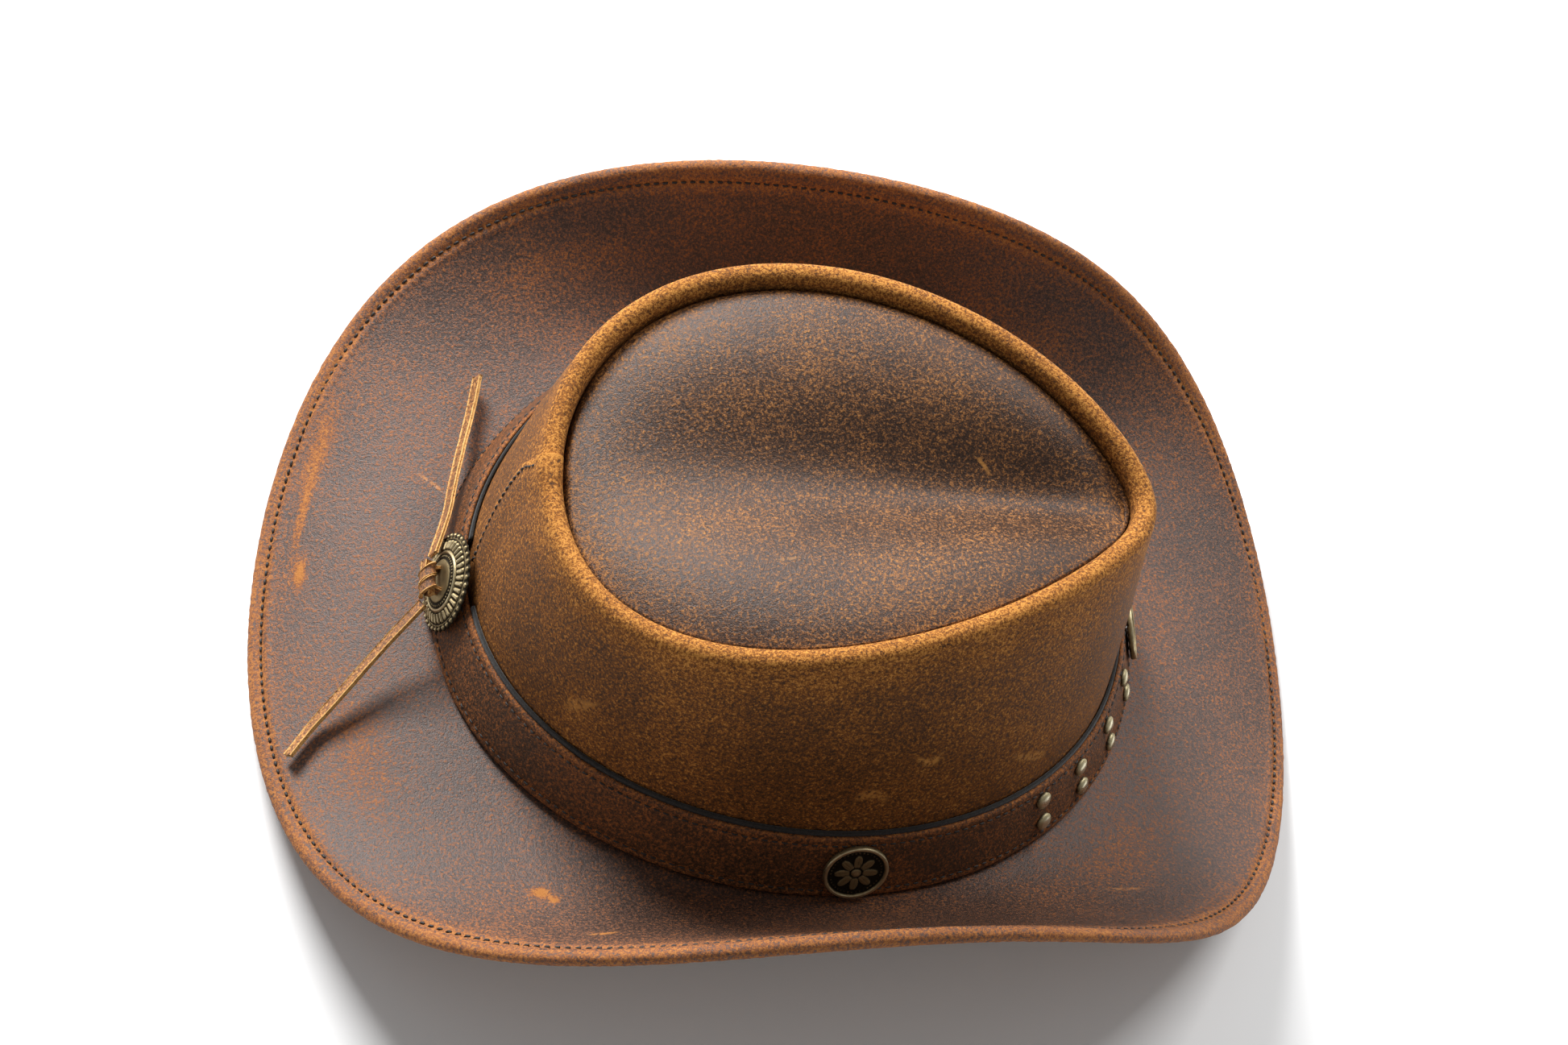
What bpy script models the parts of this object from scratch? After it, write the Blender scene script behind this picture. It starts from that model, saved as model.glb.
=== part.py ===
"""A leather cowboy hat, as the separate pieces it is sewn and riveted from.

Millimetres in the dimensions below, metres in the scene. +X is the front of the hat, +Y the wearer's
left, +Z up. The origin is on the surface that the hat stands on, under the middle of its brim.

Every closed line round the hat is a function of one angle t, 0 at the front and 90 degrees at the
left. Lines at the same t lie in one section of the hat, so layers that are set apart in each section
never touch anywhere.
"""

import math

import bmesh
import bpy
from mathutils import Matrix, Vector

MM = 0.001
STATIONS = 48  # sections round the hat

# Leather and clearances
LEATHER = 1.4
GAP = 0.3
THIN_GAP = 0.25

# Brim, at its outermost line
BRIM_HALF_LENGTH = 164.2
BRIM_SHOULDER = 0.05  # 0 is an ellipse, more keeps the sides long before they turn in
BRIM_SIDE_SHIFT = 5.0  # the sides' middles lie this far ahead of the brim's middle
BRIM_CORNER_SHIFT = 11.5  # and its corners fall back from there
BRIM_HALF_WIDTH = 127.0
BRIM_SQUARENESS = 0.44  # 0 is an ellipse, more fills out its corners
BRIM_BACK_FULLNESS = 0.16  # makes the back half wider than the front half
BRIM_END_HEIGHT = 0.4
BRIM_SIDE_LIFT = 78.5
BRIM_FORWARD_LIFT = 14.0  # extra lift of the sides' front halves
BRIM_CURVE = 2.1  # 1 is a straight cone, 2 a parabola that starts level at the crown
BRIM_STEPS = 7
ROLL_RADIUS = 2.4  # the turned hem at the brim's edge
HEM_RETURN = 6.5
WIRE_RADIUS = 0.8

# Crown: where the wall meets the brim, where the hatband's top edge lies on it, and the top seam
CENTRE_X = -1.9
BASE_HALF_LENGTH = 101.5
BASE_HALF_WIDTH = 88.6
BASE_HEIGHT = 24.7
BASE_SADDLE = 5.5
GIRTH_HALF_LENGTH = 99.2
GIRTH_HALF_WIDTH = 85.2
GIRTH_HEIGHT = 46.3
GIRTH_SADDLE = 6.7
GIRTH_SHARE = 0.27  # how far up the wall that line is
SEAM_MIDDLE_X = 0.7
SEAM_HALF_LENGTH = 81.7
SEAM_SHOULDER = 0.17  # 0 is an ellipse, more keeps the sides long before they turn in
SEAM_HALF_WIDTH = 56.8
SEAM_TAPER = 0.35  # narrows the front and widens the back
SEAM_POINT = 0.22  # narrows both ends
SEAM_END_HEIGHT = 100.1
SEAM_TILT = 4.8  # the front end's height above the mean of the ends, and the back's below
SEAM_SIDE_RISE = 14.6
SEAM_FORWARD_RISE = 5.6
LIP_RADIUS = 3.35
SEAM_ALLOWANCE = 8.0
COLLAR_SHARE = 0.11  # of the wall's height, the brim's collar inside the crown

# Crown top panel
PANEL_X = 4.0
PANEL_HEIGHT = 106.0
PANEL_CROWN = 7.0  # how far the panel swells above its seam
PANEL_SWELL = 5.0  # a higher power swells closer to the seam
DENT_DEPTH = 9.0
DENT_WIDTH = 20.0
DENT_PINCH = 0.45  # how much narrower the dent is at the front
PANEL_RINGS = (0.2, 0.36, 0.5, 0.62, 0.73, 0.83, 0.91, 0.965)

# Sweatband
SWEATBAND = 1.2
SWEATBAND_SHARE = 0.34
SWEATBAND_DROP = 1.0

# Hatband
BAND = 1.2
BACKING = 1.0
BACKING_PROUD = 1.2  # the black backing shows above the band's top edge
BAND_FOOT_HALF_LENGTH = 110.0
BAND_FOOT_HALF_WIDTH = 97.2
BAND_FOOT_HEIGHT = 26.4
BAND_FOOT_SADDLE = 6.9
BAND_OPENING_DEG = 0.35
BACKING_OPENING_DEG = 7.5
JOINT_DEG = 183.75  # the band's ends meet under the back concho, on a section of the hat

# Studs: pairs on both sides of the front concho
STUD_RADIUS = 2.8
STUD_DOME = 1.5
STUD_POST = 0.7
STUD_HOLE = 0.95
STUD_ANGLES_DEG = (12.5, 24.0, 35.5, 46.5)
STUD_ROWS = (0.26, 0.68)  # down the band's width

# Coin conchos with a hollow post and a screw from behind
COIN_RADIUS = 9.6
COIN_RIM = 0.8
COIN_THICKNESS = 1.9
POST_RADIUS = 2.2
POST_BORE = 1.35
POST_LENGTH = 3.1
POST_HOLE = 2.55
SCREW_SHANK = 1.05
SCREW_HEAD = 3.6
SCREW_HEAD_THICKNESS = 0.9
SIDE_CONCHO_DEG = 82.5
CONCHO_DOWN = 0.5

# Back concho
BACK_RADIUS = 15.2
BACK_DOWN = 0.31
BACK_STAND_OFF = 1.2
BACK_SCALLOPS = 36
BACK_SCALLOP_DEPTH = 0.5
BACK_THICKNESS = 1.1
BACK_DOME = 3.2
SLOT_OFFSET = 4.0
SLOT_WIDTH = 2.4
SLOT_LENGTH = 5.4

# Lace
LACE_WIDTH = 4.2
LACE_THICKNESS = 1.4
KNOT_SIZE = (4.2, 7.0, 3.2)
KNOT_HEIGHT = 6.7
LACE_STEP = 6.0
TAIL_LEAN_DEG = 62.0  # the tails stand nearly on edge, leaning as the hatband does
UPPER_TAIL = (
    (-112.2, 1.6, 36.4), (-108.8, 17.0, 33.5), (-107.3, 29.6, 31.0),
    (-105.3, 43.7, 28.5), (-103.1, 57.7, 26.8), (-101.5, 70.5, 27.7),
)
LOWER_TAIL = (
    (-114.2, -14.3, 35.2), (-124.2, -25.4, 29.0), (-136.1, -39.9, 22.0),
    (-142.7, -47.9, 18.2), (-149.1, -57.8, 16.8),
)


# ---------------------------------------------------------------- lines round the hat

def brim_edge(t):
    """The brim's outermost line: long, square-shouldered, low at both ends and high at the sides."""
    c, s = math.cos(t), math.sin(t)
    fullness = 1 + BRIM_SQUARENESS * c * c - BRIM_BACK_FULLNESS * c * s * s
    shift = BRIM_SIDE_SHIFT - BRIM_CORNER_SHIFT * c * c
    return Vector((
        BRIM_HALF_LENGTH * c * (1 + BRIM_SHOULDER * s * s) + shift * s * s,
        BRIM_HALF_WIDTH * s * fullness,
        BRIM_END_HEIGHT + (BRIM_SIDE_LIFT + BRIM_FORWARD_LIFT * c) * s * s,
    ))


def oval(t, half_length, half_width, height, saddle):
    """An oval that is lowest at the front and back."""
    return Vector((
        CENTRE_X + half_length * math.cos(t),
        half_width * math.sin(t),
        height - saddle * math.cos(2 * t),
    ))


def crown_base(t):
    return oval(t, BASE_HALF_LENGTH, BASE_HALF_WIDTH, BASE_HEIGHT, BASE_SADDLE)


def girth(t):
    return oval(t, GIRTH_HALF_LENGTH, GIRTH_HALF_WIDTH, GIRTH_HEIGHT, GIRTH_SADDLE)


def band_foot(t):
    return oval(t, BAND_FOOT_HALF_LENGTH, BAND_FOOT_HALF_WIDTH, BAND_FOOT_HEIGHT, BAND_FOOT_SADDLE)


def top_seam(t):
    """The seam round the top panel, an egg with its narrow end at the front."""
    c, s = math.cos(t), math.sin(t)
    return Vector((
        SEAM_MIDDLE_X + SEAM_HALF_LENGTH * c * (1 + SEAM_SHOULDER * s * s),
        SEAM_HALF_WIDTH * s * (1 - SEAM_TAPER * c - SEAM_POINT * c * c),
        SEAM_END_HEIGHT + SEAM_TILT * c + (SEAM_SIDE_RISE + SEAM_FORWARD_RISE * c) * s * s,
    ))


def outward(t):
    """Level direction from the crown's base to the brim's edge."""
    d = brim_edge(t) - crown_base(t)
    d.z = 0
    return d.normalized()


def seam_outward(t):
    """Level direction square to the top seam."""
    step = 1e-3
    along = top_seam(t + step) - top_seam(t - step)
    return Vector((along.y, -along.x, 0)).normalized()


UP = Vector((0, 0, 1))


def wall(t, share):
    """The crown wall's outer surface, from the brim at share 0 to the lip at share 1."""
    foot, middle = crown_base(t), girth(t)
    head = top_seam(t) + seam_outward(t) * 2 * LIP_RADIUS
    g = GIRTH_SHARE
    return (
        foot * ((share - g) * (share - 1) / g)
        + middle * (share * (share - 1) / (g * (g - 1)))
        + head * (share * (share - g) / (1 - g))
    )


def wall_outward(t, share):
    return outward(t).lerp(seam_outward(t), share).normalized()


# ---------------------------------------------------------------- mesh helpers

def clear_scene():
    for obj in list(bpy.data.objects):
        bpy.data.objects.remove(obj)


def material(name, colour, roughness, metallic=0.0):
    made = bpy.data.materials.new(name)
    made.use_nodes = True
    shader = made.node_tree.nodes["Principled BSDF"]
    shader.inputs["Base Color"].default_value = (*colour, 1)
    shader.inputs["Roughness"].default_value = roughness
    shader.inputs["Metallic"].default_value = metallic
    return made


def make_mesh(name, bm, finish):
    """A mesh in metres from a bmesh in millimetres."""
    bmesh.ops.recalc_face_normals(bm, faces=bm.faces)
    bmesh.ops.scale(bm, vec=(MM, MM, MM), verts=bm.verts)
    mesh = bpy.data.meshes.new(name)
    bm.to_mesh(mesh)
    bm.free()
    mesh.shade_smooth()
    mesh.set_sharp_from_angle(angle=math.radians(40))
    mesh.materials.append(finish)
    return mesh


def add_object(name, data, frame=None):
    obj = bpy.data.objects.new(name, data)
    bpy.context.scene.collection.objects.link(obj)
    if frame:
        obj.matrix_world = frame
    return obj


def add_mesh(name, bm, finish, frame=None):
    return add_object(name, make_mesh(name, bm, finish), frame)


def angles(opening_deg=0.0):
    """Section angles all the way round, or from one side of a slit at the band's joint to the other."""
    step = 2 * math.pi / STATIONS
    if not opening_deg:
        return [step * (i + 0.5) for i in range(STATIONS)]
    joint, slit = math.radians(JOINT_DEG), math.radians(opening_deg)
    inside = [step * i for i in range(1, STATIONS) if slit + 1e-6 < step * i < 2 * math.pi - slit - 1e-6]
    return [joint + a for a in [slit, *inside, 2 * math.pi - slit]]


def swept(section, opening_deg=0.0):
    """A solid through the closed outline that section(t) gives at each angle."""
    bm = bmesh.new()
    rings = [[bm.verts.new(p) for p in section(t)] for t in angles(opening_deg)]
    pairs = list(zip(rings, rings[1:]))
    if opening_deg:
        for end in (rings[0], rings[-1]):
            bm.faces.new(end)
    else:
        pairs.append((rings[-1], rings[0]))
    for a, b in pairs:
        for i in range(len(a)):
            j = (i + 1) % len(a)
            bm.faces.new((a[i], a[j], b[j], b[i]))
    return bm


def turned(profile, steps):
    """A solid of revolution about Z from (radius, height) points, top first; radius 0 ends it."""
    bm = bmesh.new()
    points = [bm.verts.new((r, 0, z)) for r, z in profile]
    edges = [bm.edges.new(pair) for pair in zip(points, points[1:])]
    bmesh.ops.spin(
        bm, geom=points + edges, cent=(0, 0, 0), axis=(0, 0, 1),
        angle=2 * math.pi, steps=steps, use_duplicate=False,
    )
    bmesh.ops.remove_doubles(bm, verts=bm.verts, dist=1e-4)
    return bm


def cylinder(radius, low, high, segments):
    bm = bmesh.new()
    bmesh.ops.create_cone(
        bm, cap_ends=True, segments=segments, radius1=radius, radius2=radius, depth=high - low,
        matrix=Matrix.Translation((0, 0, (low + high) / 2)),
    )
    return bm


def block(size, centre):
    bm = bmesh.new()
    bmesh.ops.create_cube(bm, size=1, matrix=Matrix.Translation(centre) @ Matrix.Diagonal((*size, 1)))
    return bm


def cut(obj, cutters):
    """Cuts away the helper objects, which stay hidden."""
    for cutter in cutters:
        cutter.hide_render = True
        cutter.display_type = "WIRE"
        modifier = obj.modifiers.new("cut_" + cutter.name, "BOOLEAN")
        modifier.operation = "DIFFERENCE"
        modifier.object = cutter


# ---------------------------------------------------------------- brim

def brim_line(t):
    """The brim's top surface in its section: base point, direction, far end (r, z) and end slope."""
    base, direction, edge = crown_base(t), outward(t), brim_edge(t)
    reach, low, high = (edge - base).dot(direction), base.z - GAP, edge.z
    end_r, end_z, slope = reach, high, 0.0
    for _ in range(4):
        slope = math.atan2(BRIM_CURVE * (end_z - low), end_r)
        end_r = reach - ROLL_RADIUS * (math.cos(slope) + math.sin(slope))
        end_z = high + ROLL_RADIUS * (math.cos(slope) - math.sin(slope))
    return base, direction, low, end_r, end_z, slope


def brim_top(line, share):
    """Point and up-facing normal of the brim's top surface, in the section's (r, z)."""
    _, _, low, end_r, end_z, _ = line
    rise = (end_z - low) * share ** BRIM_CURVE
    slope = math.atan2(BRIM_CURVE * (end_z - low) * share ** (BRIM_CURVE - 1), end_r)
    return (share * end_r, low + rise), (-math.sin(slope), math.cos(slope))


def below(point, normal, depth):
    return (point[0] - normal[0] * depth, point[1] - normal[1] * depth)


def arc(centre, radius, slope, start_deg, stop_deg, steps):
    found = []
    for i in range(steps + 1):
        a = slope + math.radians(start_deg + (stop_deg - start_deg) * i / steps)
        found.append((centre[0] + radius * math.cos(a), centre[1] + radius * math.sin(a)))
    return found


def roll_centre(t):
    line = brim_line(t)
    point, normal = brim_top(line, 1.0)
    return line, below(point, normal, ROLL_RADIUS)


def in_section(line, point):
    base, direction = line[0], line[1]
    return Vector((base.x, base.y, 0)) + direction * point[0] + UP * point[1]


def brim_section(t):
    line, centre = roll_centre(t)
    slope = line[5]
    shares = [i / BRIM_STEPS for i in range(BRIM_STEPS + 1)]
    top = [brim_top(line, s) for s in shares]
    inner = -(LEATHER + GAP)
    hem_share = 1 - HEM_RETURN / math.hypot(line[3], line[4] - line[2])
    hem_point, hem_normal = brim_top(line, hem_share)
    points = [(inner, line[2])] + [p for p, _ in top[:-1]]
    points += arc(centre, ROLL_RADIUS, slope, 90, -90, 6)
    points += [
        below(hem_point, hem_normal, 2 * LEATHER + THIN_GAP),
        below(hem_point, hem_normal, LEATHER + THIN_GAP),
    ]
    points += arc(centre, ROLL_RADIUS - LEATHER, slope, -90, 90, 4)
    points += [below(p, n, LEATHER) for p, n in reversed(top[:-1])]
    points += [(inner - LEATHER, line[2] - LEATHER)]
    collar = wall(t, COLLAR_SHARE)
    ends = [collar + outward(t) * (inner - LEATHER), collar + outward(t) * inner]
    # The hem's underside is pressed flat where the hat stands on it.
    return [Vector((p.x, p.y, max(p.z, 0))) for p in [in_section(line, q) for q in points] + ends]


def wire_section(t):
    line, centre = roll_centre(t)
    return [in_section(line, p) for p in arc(centre, WIRE_RADIUS, line[5], 0, 300, 5)]


# ---------------------------------------------------------------- crown

def crown_side_section(t):
    seam, n = top_seam(t), seam_outward(t)

    def lip(radius, degrees):
        a = math.radians(degrees)
        return seam + n * (LIP_RADIUS + radius * math.cos(a)) + UP * radius * math.sin(a)

    shares = (0, 0.13, GIRTH_SHARE, 0.45, 0.65, 0.84)
    inner_radius = LIP_RADIUS - LEATHER
    outer = [wall(t, s) for s in shares]
    over = [lip(LIP_RADIUS, d) for d in (0, 36, 72, 108, 144, 180)]
    flange = [seam - UP * SEAM_ALLOWANCE, seam + n * LEATHER - UP * SEAM_ALLOWANCE]
    under = [lip(inner_radius, d) for d in (180, 135, 90, 45, 0)]
    inner = [wall(t, s) - wall_outward(t, s) * LEATHER for s in reversed(shares)]
    return outer + over + flange + under + inner


def panel_point(t, share):
    """The top panel's upper surface, from its middle at share 0 to its seam at share 1."""
    seam = top_seam(t) - seam_outward(t) * GAP
    x = PANEL_X + (seam.x - PANEL_X) * share
    y = seam.y * share
    along = (x - PANEL_X) / SEAM_HALF_LENGTH
    width = DENT_WIDTH * (1 - DENT_PINCH * along)
    dent = DENT_DEPTH * math.exp(-((y / width) ** 2)) * max(0.0, 1 - along ** 2) ** 0.7
    swell = PANEL_CROWN * (1 - share ** PANEL_SWELL)
    z = PANEL_HEIGHT + (seam.z - PANEL_HEIGHT) * share ** 2 + swell - dent
    return Vector((x, y, z - LIP_RADIUS * 0.5))


def crown_top():
    """The panel with its edge turned down inside the lip."""
    bm = bmesh.new()
    drop = UP * LEATHER

    def ring(point):
        return [bm.verts.new(point(t)) for t in angles()]

    def edge(t, inset, height):
        return top_seam(t) - seam_outward(t) * (GAP + inset) + UP * height

    upper = [ring(lambda t, s=s: panel_point(t, s)) for s in PANEL_RINGS]
    lower = [ring(lambda t, s=s: panel_point(t, s) - drop) for s in reversed(PANEL_RINGS[:-1])]
    turned_down = [
        ring(lambda t: edge(t, 0, -LIP_RADIUS)),
        ring(lambda t: edge(t, 0, -SEAM_ALLOWANCE)),
        ring(lambda t: edge(t, LEATHER, -SEAM_ALLOWANCE)),
        ring(lambda t: edge(t, LEATHER, -LIP_RADIUS - LEATHER)),
    ]
    rings = upper + turned_down + lower
    for a, b in zip(rings, rings[1:]):
        for i in range(STATIONS):
            j = (i + 1) % STATIONS
            bm.faces.new((a[i], a[j], b[j], b[i]))
    for end, lift in ((rings[0], Vector()), (rings[-1], -drop)):
        middle = bm.verts.new(panel_point(0, 0) + lift)
        for i in range(STATIONS):
            bm.faces.new((end[i], end[(i + 1) % STATIONS], middle))
    return bm


def sweatband_section(t):
    inner = LEATHER + GAP + LEATHER + GAP
    shares = (0.0, 0.12, 0.23, SWEATBAND_SHARE)
    drop = [UP * SWEATBAND_DROP if s == 0 else Vector() for s in shares]
    outer = [wall(t, s) - outward(t) * inner - d for s, d in zip(shares, drop)]
    return outer + [p - outward(t) * SWEATBAND for p in reversed(outer)]


# ---------------------------------------------------------------- hatband

def band_point(t, down, depth=0.0):
    """The hatband's outer surface, from its top edge at down 0 to its foot at down 1."""
    stand_off = GAP + BACKING + THIN_GAP + BAND
    head = girth(t) + outward(t) * stand_off
    return head.lerp(band_foot(t), down) - outward(t) * depth


def band_section(t):
    outer = [band_point(t, 0), band_point(t, 1)]
    return outer + [p - outward(t) * BAND for p in reversed(outer)]


def backing_section(t):
    depth = BAND + THIN_GAP
    rise = (girth(t) - crown_base(t)).normalized() * BACKING_PROUD
    outer = [band_point(t, 0, depth) + rise, band_point(t, 0, depth), band_point(t, 0.97, depth)]
    return outer + [p - outward(t) * BACKING for p in reversed(outer)]


def band_frame(t, down):
    """A frame on the hatband's outer surface: X down its slope, Y along it, Z out of it."""
    step = 1e-3
    along = (band_point(t + step, down) - band_point(t - step, down)).normalized()
    down_slope = (band_point(t, 1) - band_point(t, 0)).normalized()
    out = down_slope.cross(along).normalized()
    if out.dot(outward(t)) < 0:
        out, along = -out, -along
    down_slope = along.cross(out)
    place = Matrix((down_slope, along, out)).transposed().to_4x4()
    place.translation = band_point(t, down) * MM
    return place


def stud_mesh():
    rise = STUD_DOME
    profile = [
        (0, GAP + rise), (STUD_RADIUS * 0.55, GAP + rise * 0.86), (STUD_RADIUS * 0.9, GAP + rise * 0.45),
        (STUD_RADIUS, GAP), (STUD_POST, GAP), (STUD_POST, -BAND), (0, -BAND),
    ]
    return turned(profile, 10)


def coin_mesh():
    """A dished disc with a raised rim and a bored post at the back, its back face on Z = 0."""
    top = COIN_THICKNESS
    profile = [
        (0, top - 0.1), (COIN_RADIUS * 0.6, top - 0.3), (COIN_RADIUS - 2 * COIN_RIM, top - 0.6),
        (COIN_RADIUS - COIN_RIM, top), (COIN_RADIUS - 0.2, top - 0.1), (COIN_RADIUS, top - 0.5),
        (COIN_RADIUS, 0.3), (COIN_RADIUS - 0.3, 0), (POST_RADIUS, 0), (POST_RADIUS, -POST_LENGTH),
        (POST_BORE, -POST_LENGTH), (POST_BORE, 0), (0, 0),
    ]
    return turned(profile, 24)


def screw_mesh():
    """The screw that closes a coin concho from inside the band, in the coin's own frame."""
    head = -POST_LENGTH - THIN_GAP
    profile = [
        (0, -GAP), (SCREW_SHANK, -GAP), (SCREW_SHANK, head), (SCREW_HEAD, head),
        (SCREW_HEAD, head - SCREW_HEAD_THICKNESS * 0.5),
        (SCREW_HEAD - 0.6, head - SCREW_HEAD_THICKNESS), (0, head - SCREW_HEAD_THICKNESS),
    ]
    return turned(profile, 12)


def back_concho_mesh():
    """A domed disc with a scalloped edge, hollow behind, its edge on Z = 0."""
    profile = [
        (0, BACK_DOME), (8.6, BACK_DOME - 0.2), (12.0, 1.6), (BACK_RADIUS, 0.9), (BACK_RADIUS, 0.1),
        (8.4, BACK_DOME - BACK_THICKNESS - 0.2), (0, BACK_DOME - BACK_THICKNESS),
    ]
    bm = turned(profile, 2 * BACK_SCALLOPS)
    for v in bm.verts:
        reach = math.hypot(v.co.x, v.co.y)
        if reach > 14:
            a = math.atan2(v.co.y, v.co.x)
            scale = 1 - BACK_SCALLOP_DEPTH / reach * (0.5 - 0.5 * math.cos(BACK_SCALLOPS * a))
            v.co.x *= scale
            v.co.y *= scale
    return bm


# ---------------------------------------------------------------- lace

def lace_loop_mesh():
    """The lace's hidden loop: through both slots and across behind the band's ends."""
    half = LACE_THICKNESS / 2
    leg, front = SLOT_OFFSET, KNOT_HEIGHT
    back = -(BACK_STAND_OFF + BAND + GAP + LACE_THICKNESS)
    outline = [
        (leg + half, front), (leg + half, back), (-leg - half, back), (-leg - half, front),
        (-leg + half, front), (-leg + half, back + LACE_THICKNESS),
        (leg - half, back + LACE_THICKNESS), (leg - half, front),
    ]
    bm = bmesh.new()
    face = bm.faces.new([bm.verts.new((-LACE_WIDTH / 2, y, z)) for y, z in outline])
    extruded = bmesh.ops.extrude_face_region(bm, geom=[face])["geom"]
    bmesh.ops.translate(
        bm, vec=(LACE_WIDTH, 0, 0), verts=[v for v in extruded if isinstance(v, bmesh.types.BMVert)]
    )
    return bm


def smooth_route(points):
    """Points about LACE_STEP apart on a Catmull-Rom curve through a hand-chosen route."""
    knots = [Vector(p) for p in points]
    knots = [2 * knots[0] - knots[1], *knots, 2 * knots[-1] - knots[-2]]
    found = []
    for a, b, c, d in zip(knots, knots[1:], knots[2:], knots[3:]):
        steps = max(1, round((c - b).length / LACE_STEP))
        for i in range(steps):
            u = i / steps
            found.append(0.5 * (
                2 * b + (c - a) * u + (2 * a - 5 * b + 4 * c - d) * u ** 2
                + (3 * b - 3 * c + d - a) * u ** 3
            ))
    return found + [Vector(points[-1])]


def add_tail(name, route, lean_deg, finish):
    points = smooth_route(route)
    curve = bpy.data.curves.new(name, "CURVE")
    curve.dimensions = "3D"
    curve.twist_mode = "Z_UP"
    curve.bevel_depth = LACE_THICKNESS / 2 * MM
    curve.extrude = (LACE_WIDTH - LACE_THICKNESS) / 2 * MM
    curve.bevel_resolution = 2
    curve.use_fill_caps = True
    spline = curve.splines.new("POLY")
    spline.points.add(len(points) - 1)
    for slot, p in zip(spline.points, points):
        slot.co = (*(p * MM), 1)
        slot.tilt = math.radians(90 + lean_deg)
    curve.materials.append(finish)
    add_object(name, curve)


# ---------------------------------------------------------------- assembly

def add_soft_goods(leather, worn, suede, black):
    add_mesh("brim", swept(brim_section), leather)
    add_mesh("crown_side", swept(crown_side_section), worn)
    add_mesh("crown_top", crown_top(), leather)
    add_mesh("sweatband", swept(sweatband_section), suede)
    band = add_mesh("hatband", swept(band_section, BAND_OPENING_DEG), leather)
    backing = add_mesh("hatband_backing", swept(backing_section, BACKING_OPENING_DEG), black)
    return band, backing


def add_studs(band, brass, leather):
    stud = make_mesh("stud", stud_mesh(), brass)
    hole = make_mesh("stud_hole", cylinder(STUD_HOLE, -3, 3, 8), leather)
    for side, sign in (("left", 1), ("right", -1)):
        for pair, degrees in enumerate(STUD_ANGLES_DEG, 1):
            for row, down in zip(("upper", "lower"), STUD_ROWS):
                frame = band_frame(sign * math.radians(degrees), down)
                name = f"stud_{side}_{pair}_{row}"
                add_object(name, stud, frame)
                cut(band, [add_object("hole_" + name, hole, frame)])


def add_coin_conchos(band, backing, brass, steel, leather):
    for place, degrees in (("front", 0), ("left", SIDE_CONCHO_DEG), ("right", -SIDE_CONCHO_DEG)):
        frame = band_frame(math.radians(degrees), CONCHO_DOWN)
        hole = add_mesh(f"hole_{place}_concho", cylinder(POST_HOLE, -6, 3, 16), leather, frame)
        cut(band, [hole])
        cut(backing, [hole])
        seat = frame @ Matrix.Translation((0, 0, 2 * GAP * MM))
        pivot = add_object(f"{place}_concho_pivot", None, seat)
        for piece in (
            add_mesh(f"{place}_concho", coin_mesh(), brass),
            add_mesh(f"{place}_concho_screw", screw_mesh(), steel),
        ):
            piece.parent = pivot


def add_back_concho(band, brass, leather):
    seat = band_frame(math.radians(JOINT_DEG), BACK_DOWN) @ Matrix.Translation((0, 0, BACK_STAND_OFF * MM))
    concho = add_mesh("back_concho", back_concho_mesh(), brass, seat)
    for name, side in (("slot_left", 1), ("slot_right", -1)):
        opening = block((SLOT_LENGTH, SLOT_WIDTH, 16), (0, side * SLOT_OFFSET, 0))
        slot = add_mesh(name, opening, leather, seat)
        cut(concho, [slot])
        cut(band, [slot])
    knot = bmesh.new()
    bmesh.ops.create_uvsphere(
        knot, u_segments=12, v_segments=8, radius=1,
        matrix=Matrix.Translation((0, 0, KNOT_HEIGHT)) @ Matrix.Diagonal((*KNOT_SIZE, 1)),
    )
    lump = add_mesh("lace_knot", knot, leather, seat)
    loop = add_mesh("lace_loop", lace_loop_mesh(), leather, seat)
    loop.hide_render = True
    loop.display_type = "WIRE"
    union = lump.modifiers.new("loop", "BOOLEAN")
    union.operation = "UNION"
    union.object = loop


def main():
    clear_scene()
    leather = material("oiled_leather", (0.16, 0.07, 0.035), 0.55)
    worn = material("worn_leather", (0.27, 0.12, 0.04), 0.62)
    suede = material("suede_lining", (0.32, 0.2, 0.11), 0.9)
    black = material("black_backing", (0.02, 0.018, 0.016), 0.85)
    brass = material("antique_brass", (0.42, 0.33, 0.17), 0.35, 1.0)
    steel = material("steel", (0.55, 0.55, 0.56), 0.3, 1.0)

    band, backing = add_soft_goods(leather, worn, suede, black)
    add_mesh("brim_wire", swept(wire_section), steel)
    add_studs(band, brass, leather)
    add_coin_conchos(band, backing, brass, steel, leather)
    add_back_concho(band, brass, leather)
    add_tail("lace_tail_upper", UPPER_TAIL, -TAIL_LEAN_DEG, leather)
    add_tail("lace_tail_lower", LOWER_TAIL, TAIL_LEAN_DEG, leather)


main()
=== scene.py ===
"""The looks of a leather cowboy hat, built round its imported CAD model.

Lengths in the constants are millimetres; meshes are made in metres. +X is the front of the hat, +Y the
wearer's left, +Z up. A closed line round the hat is a function of the angle t, 0 at the front and 90
degrees at the left.
"""

import math

import bmesh
import bpy
import numpy as np
from mathutils import Matrix, Vector


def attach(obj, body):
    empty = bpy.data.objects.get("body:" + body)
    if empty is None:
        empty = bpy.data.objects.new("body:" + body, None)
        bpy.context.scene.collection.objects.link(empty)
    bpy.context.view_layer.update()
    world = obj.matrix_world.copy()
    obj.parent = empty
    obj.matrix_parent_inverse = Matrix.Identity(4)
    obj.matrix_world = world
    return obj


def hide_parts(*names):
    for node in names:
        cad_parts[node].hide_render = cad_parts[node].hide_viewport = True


MM = 0.001

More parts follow.
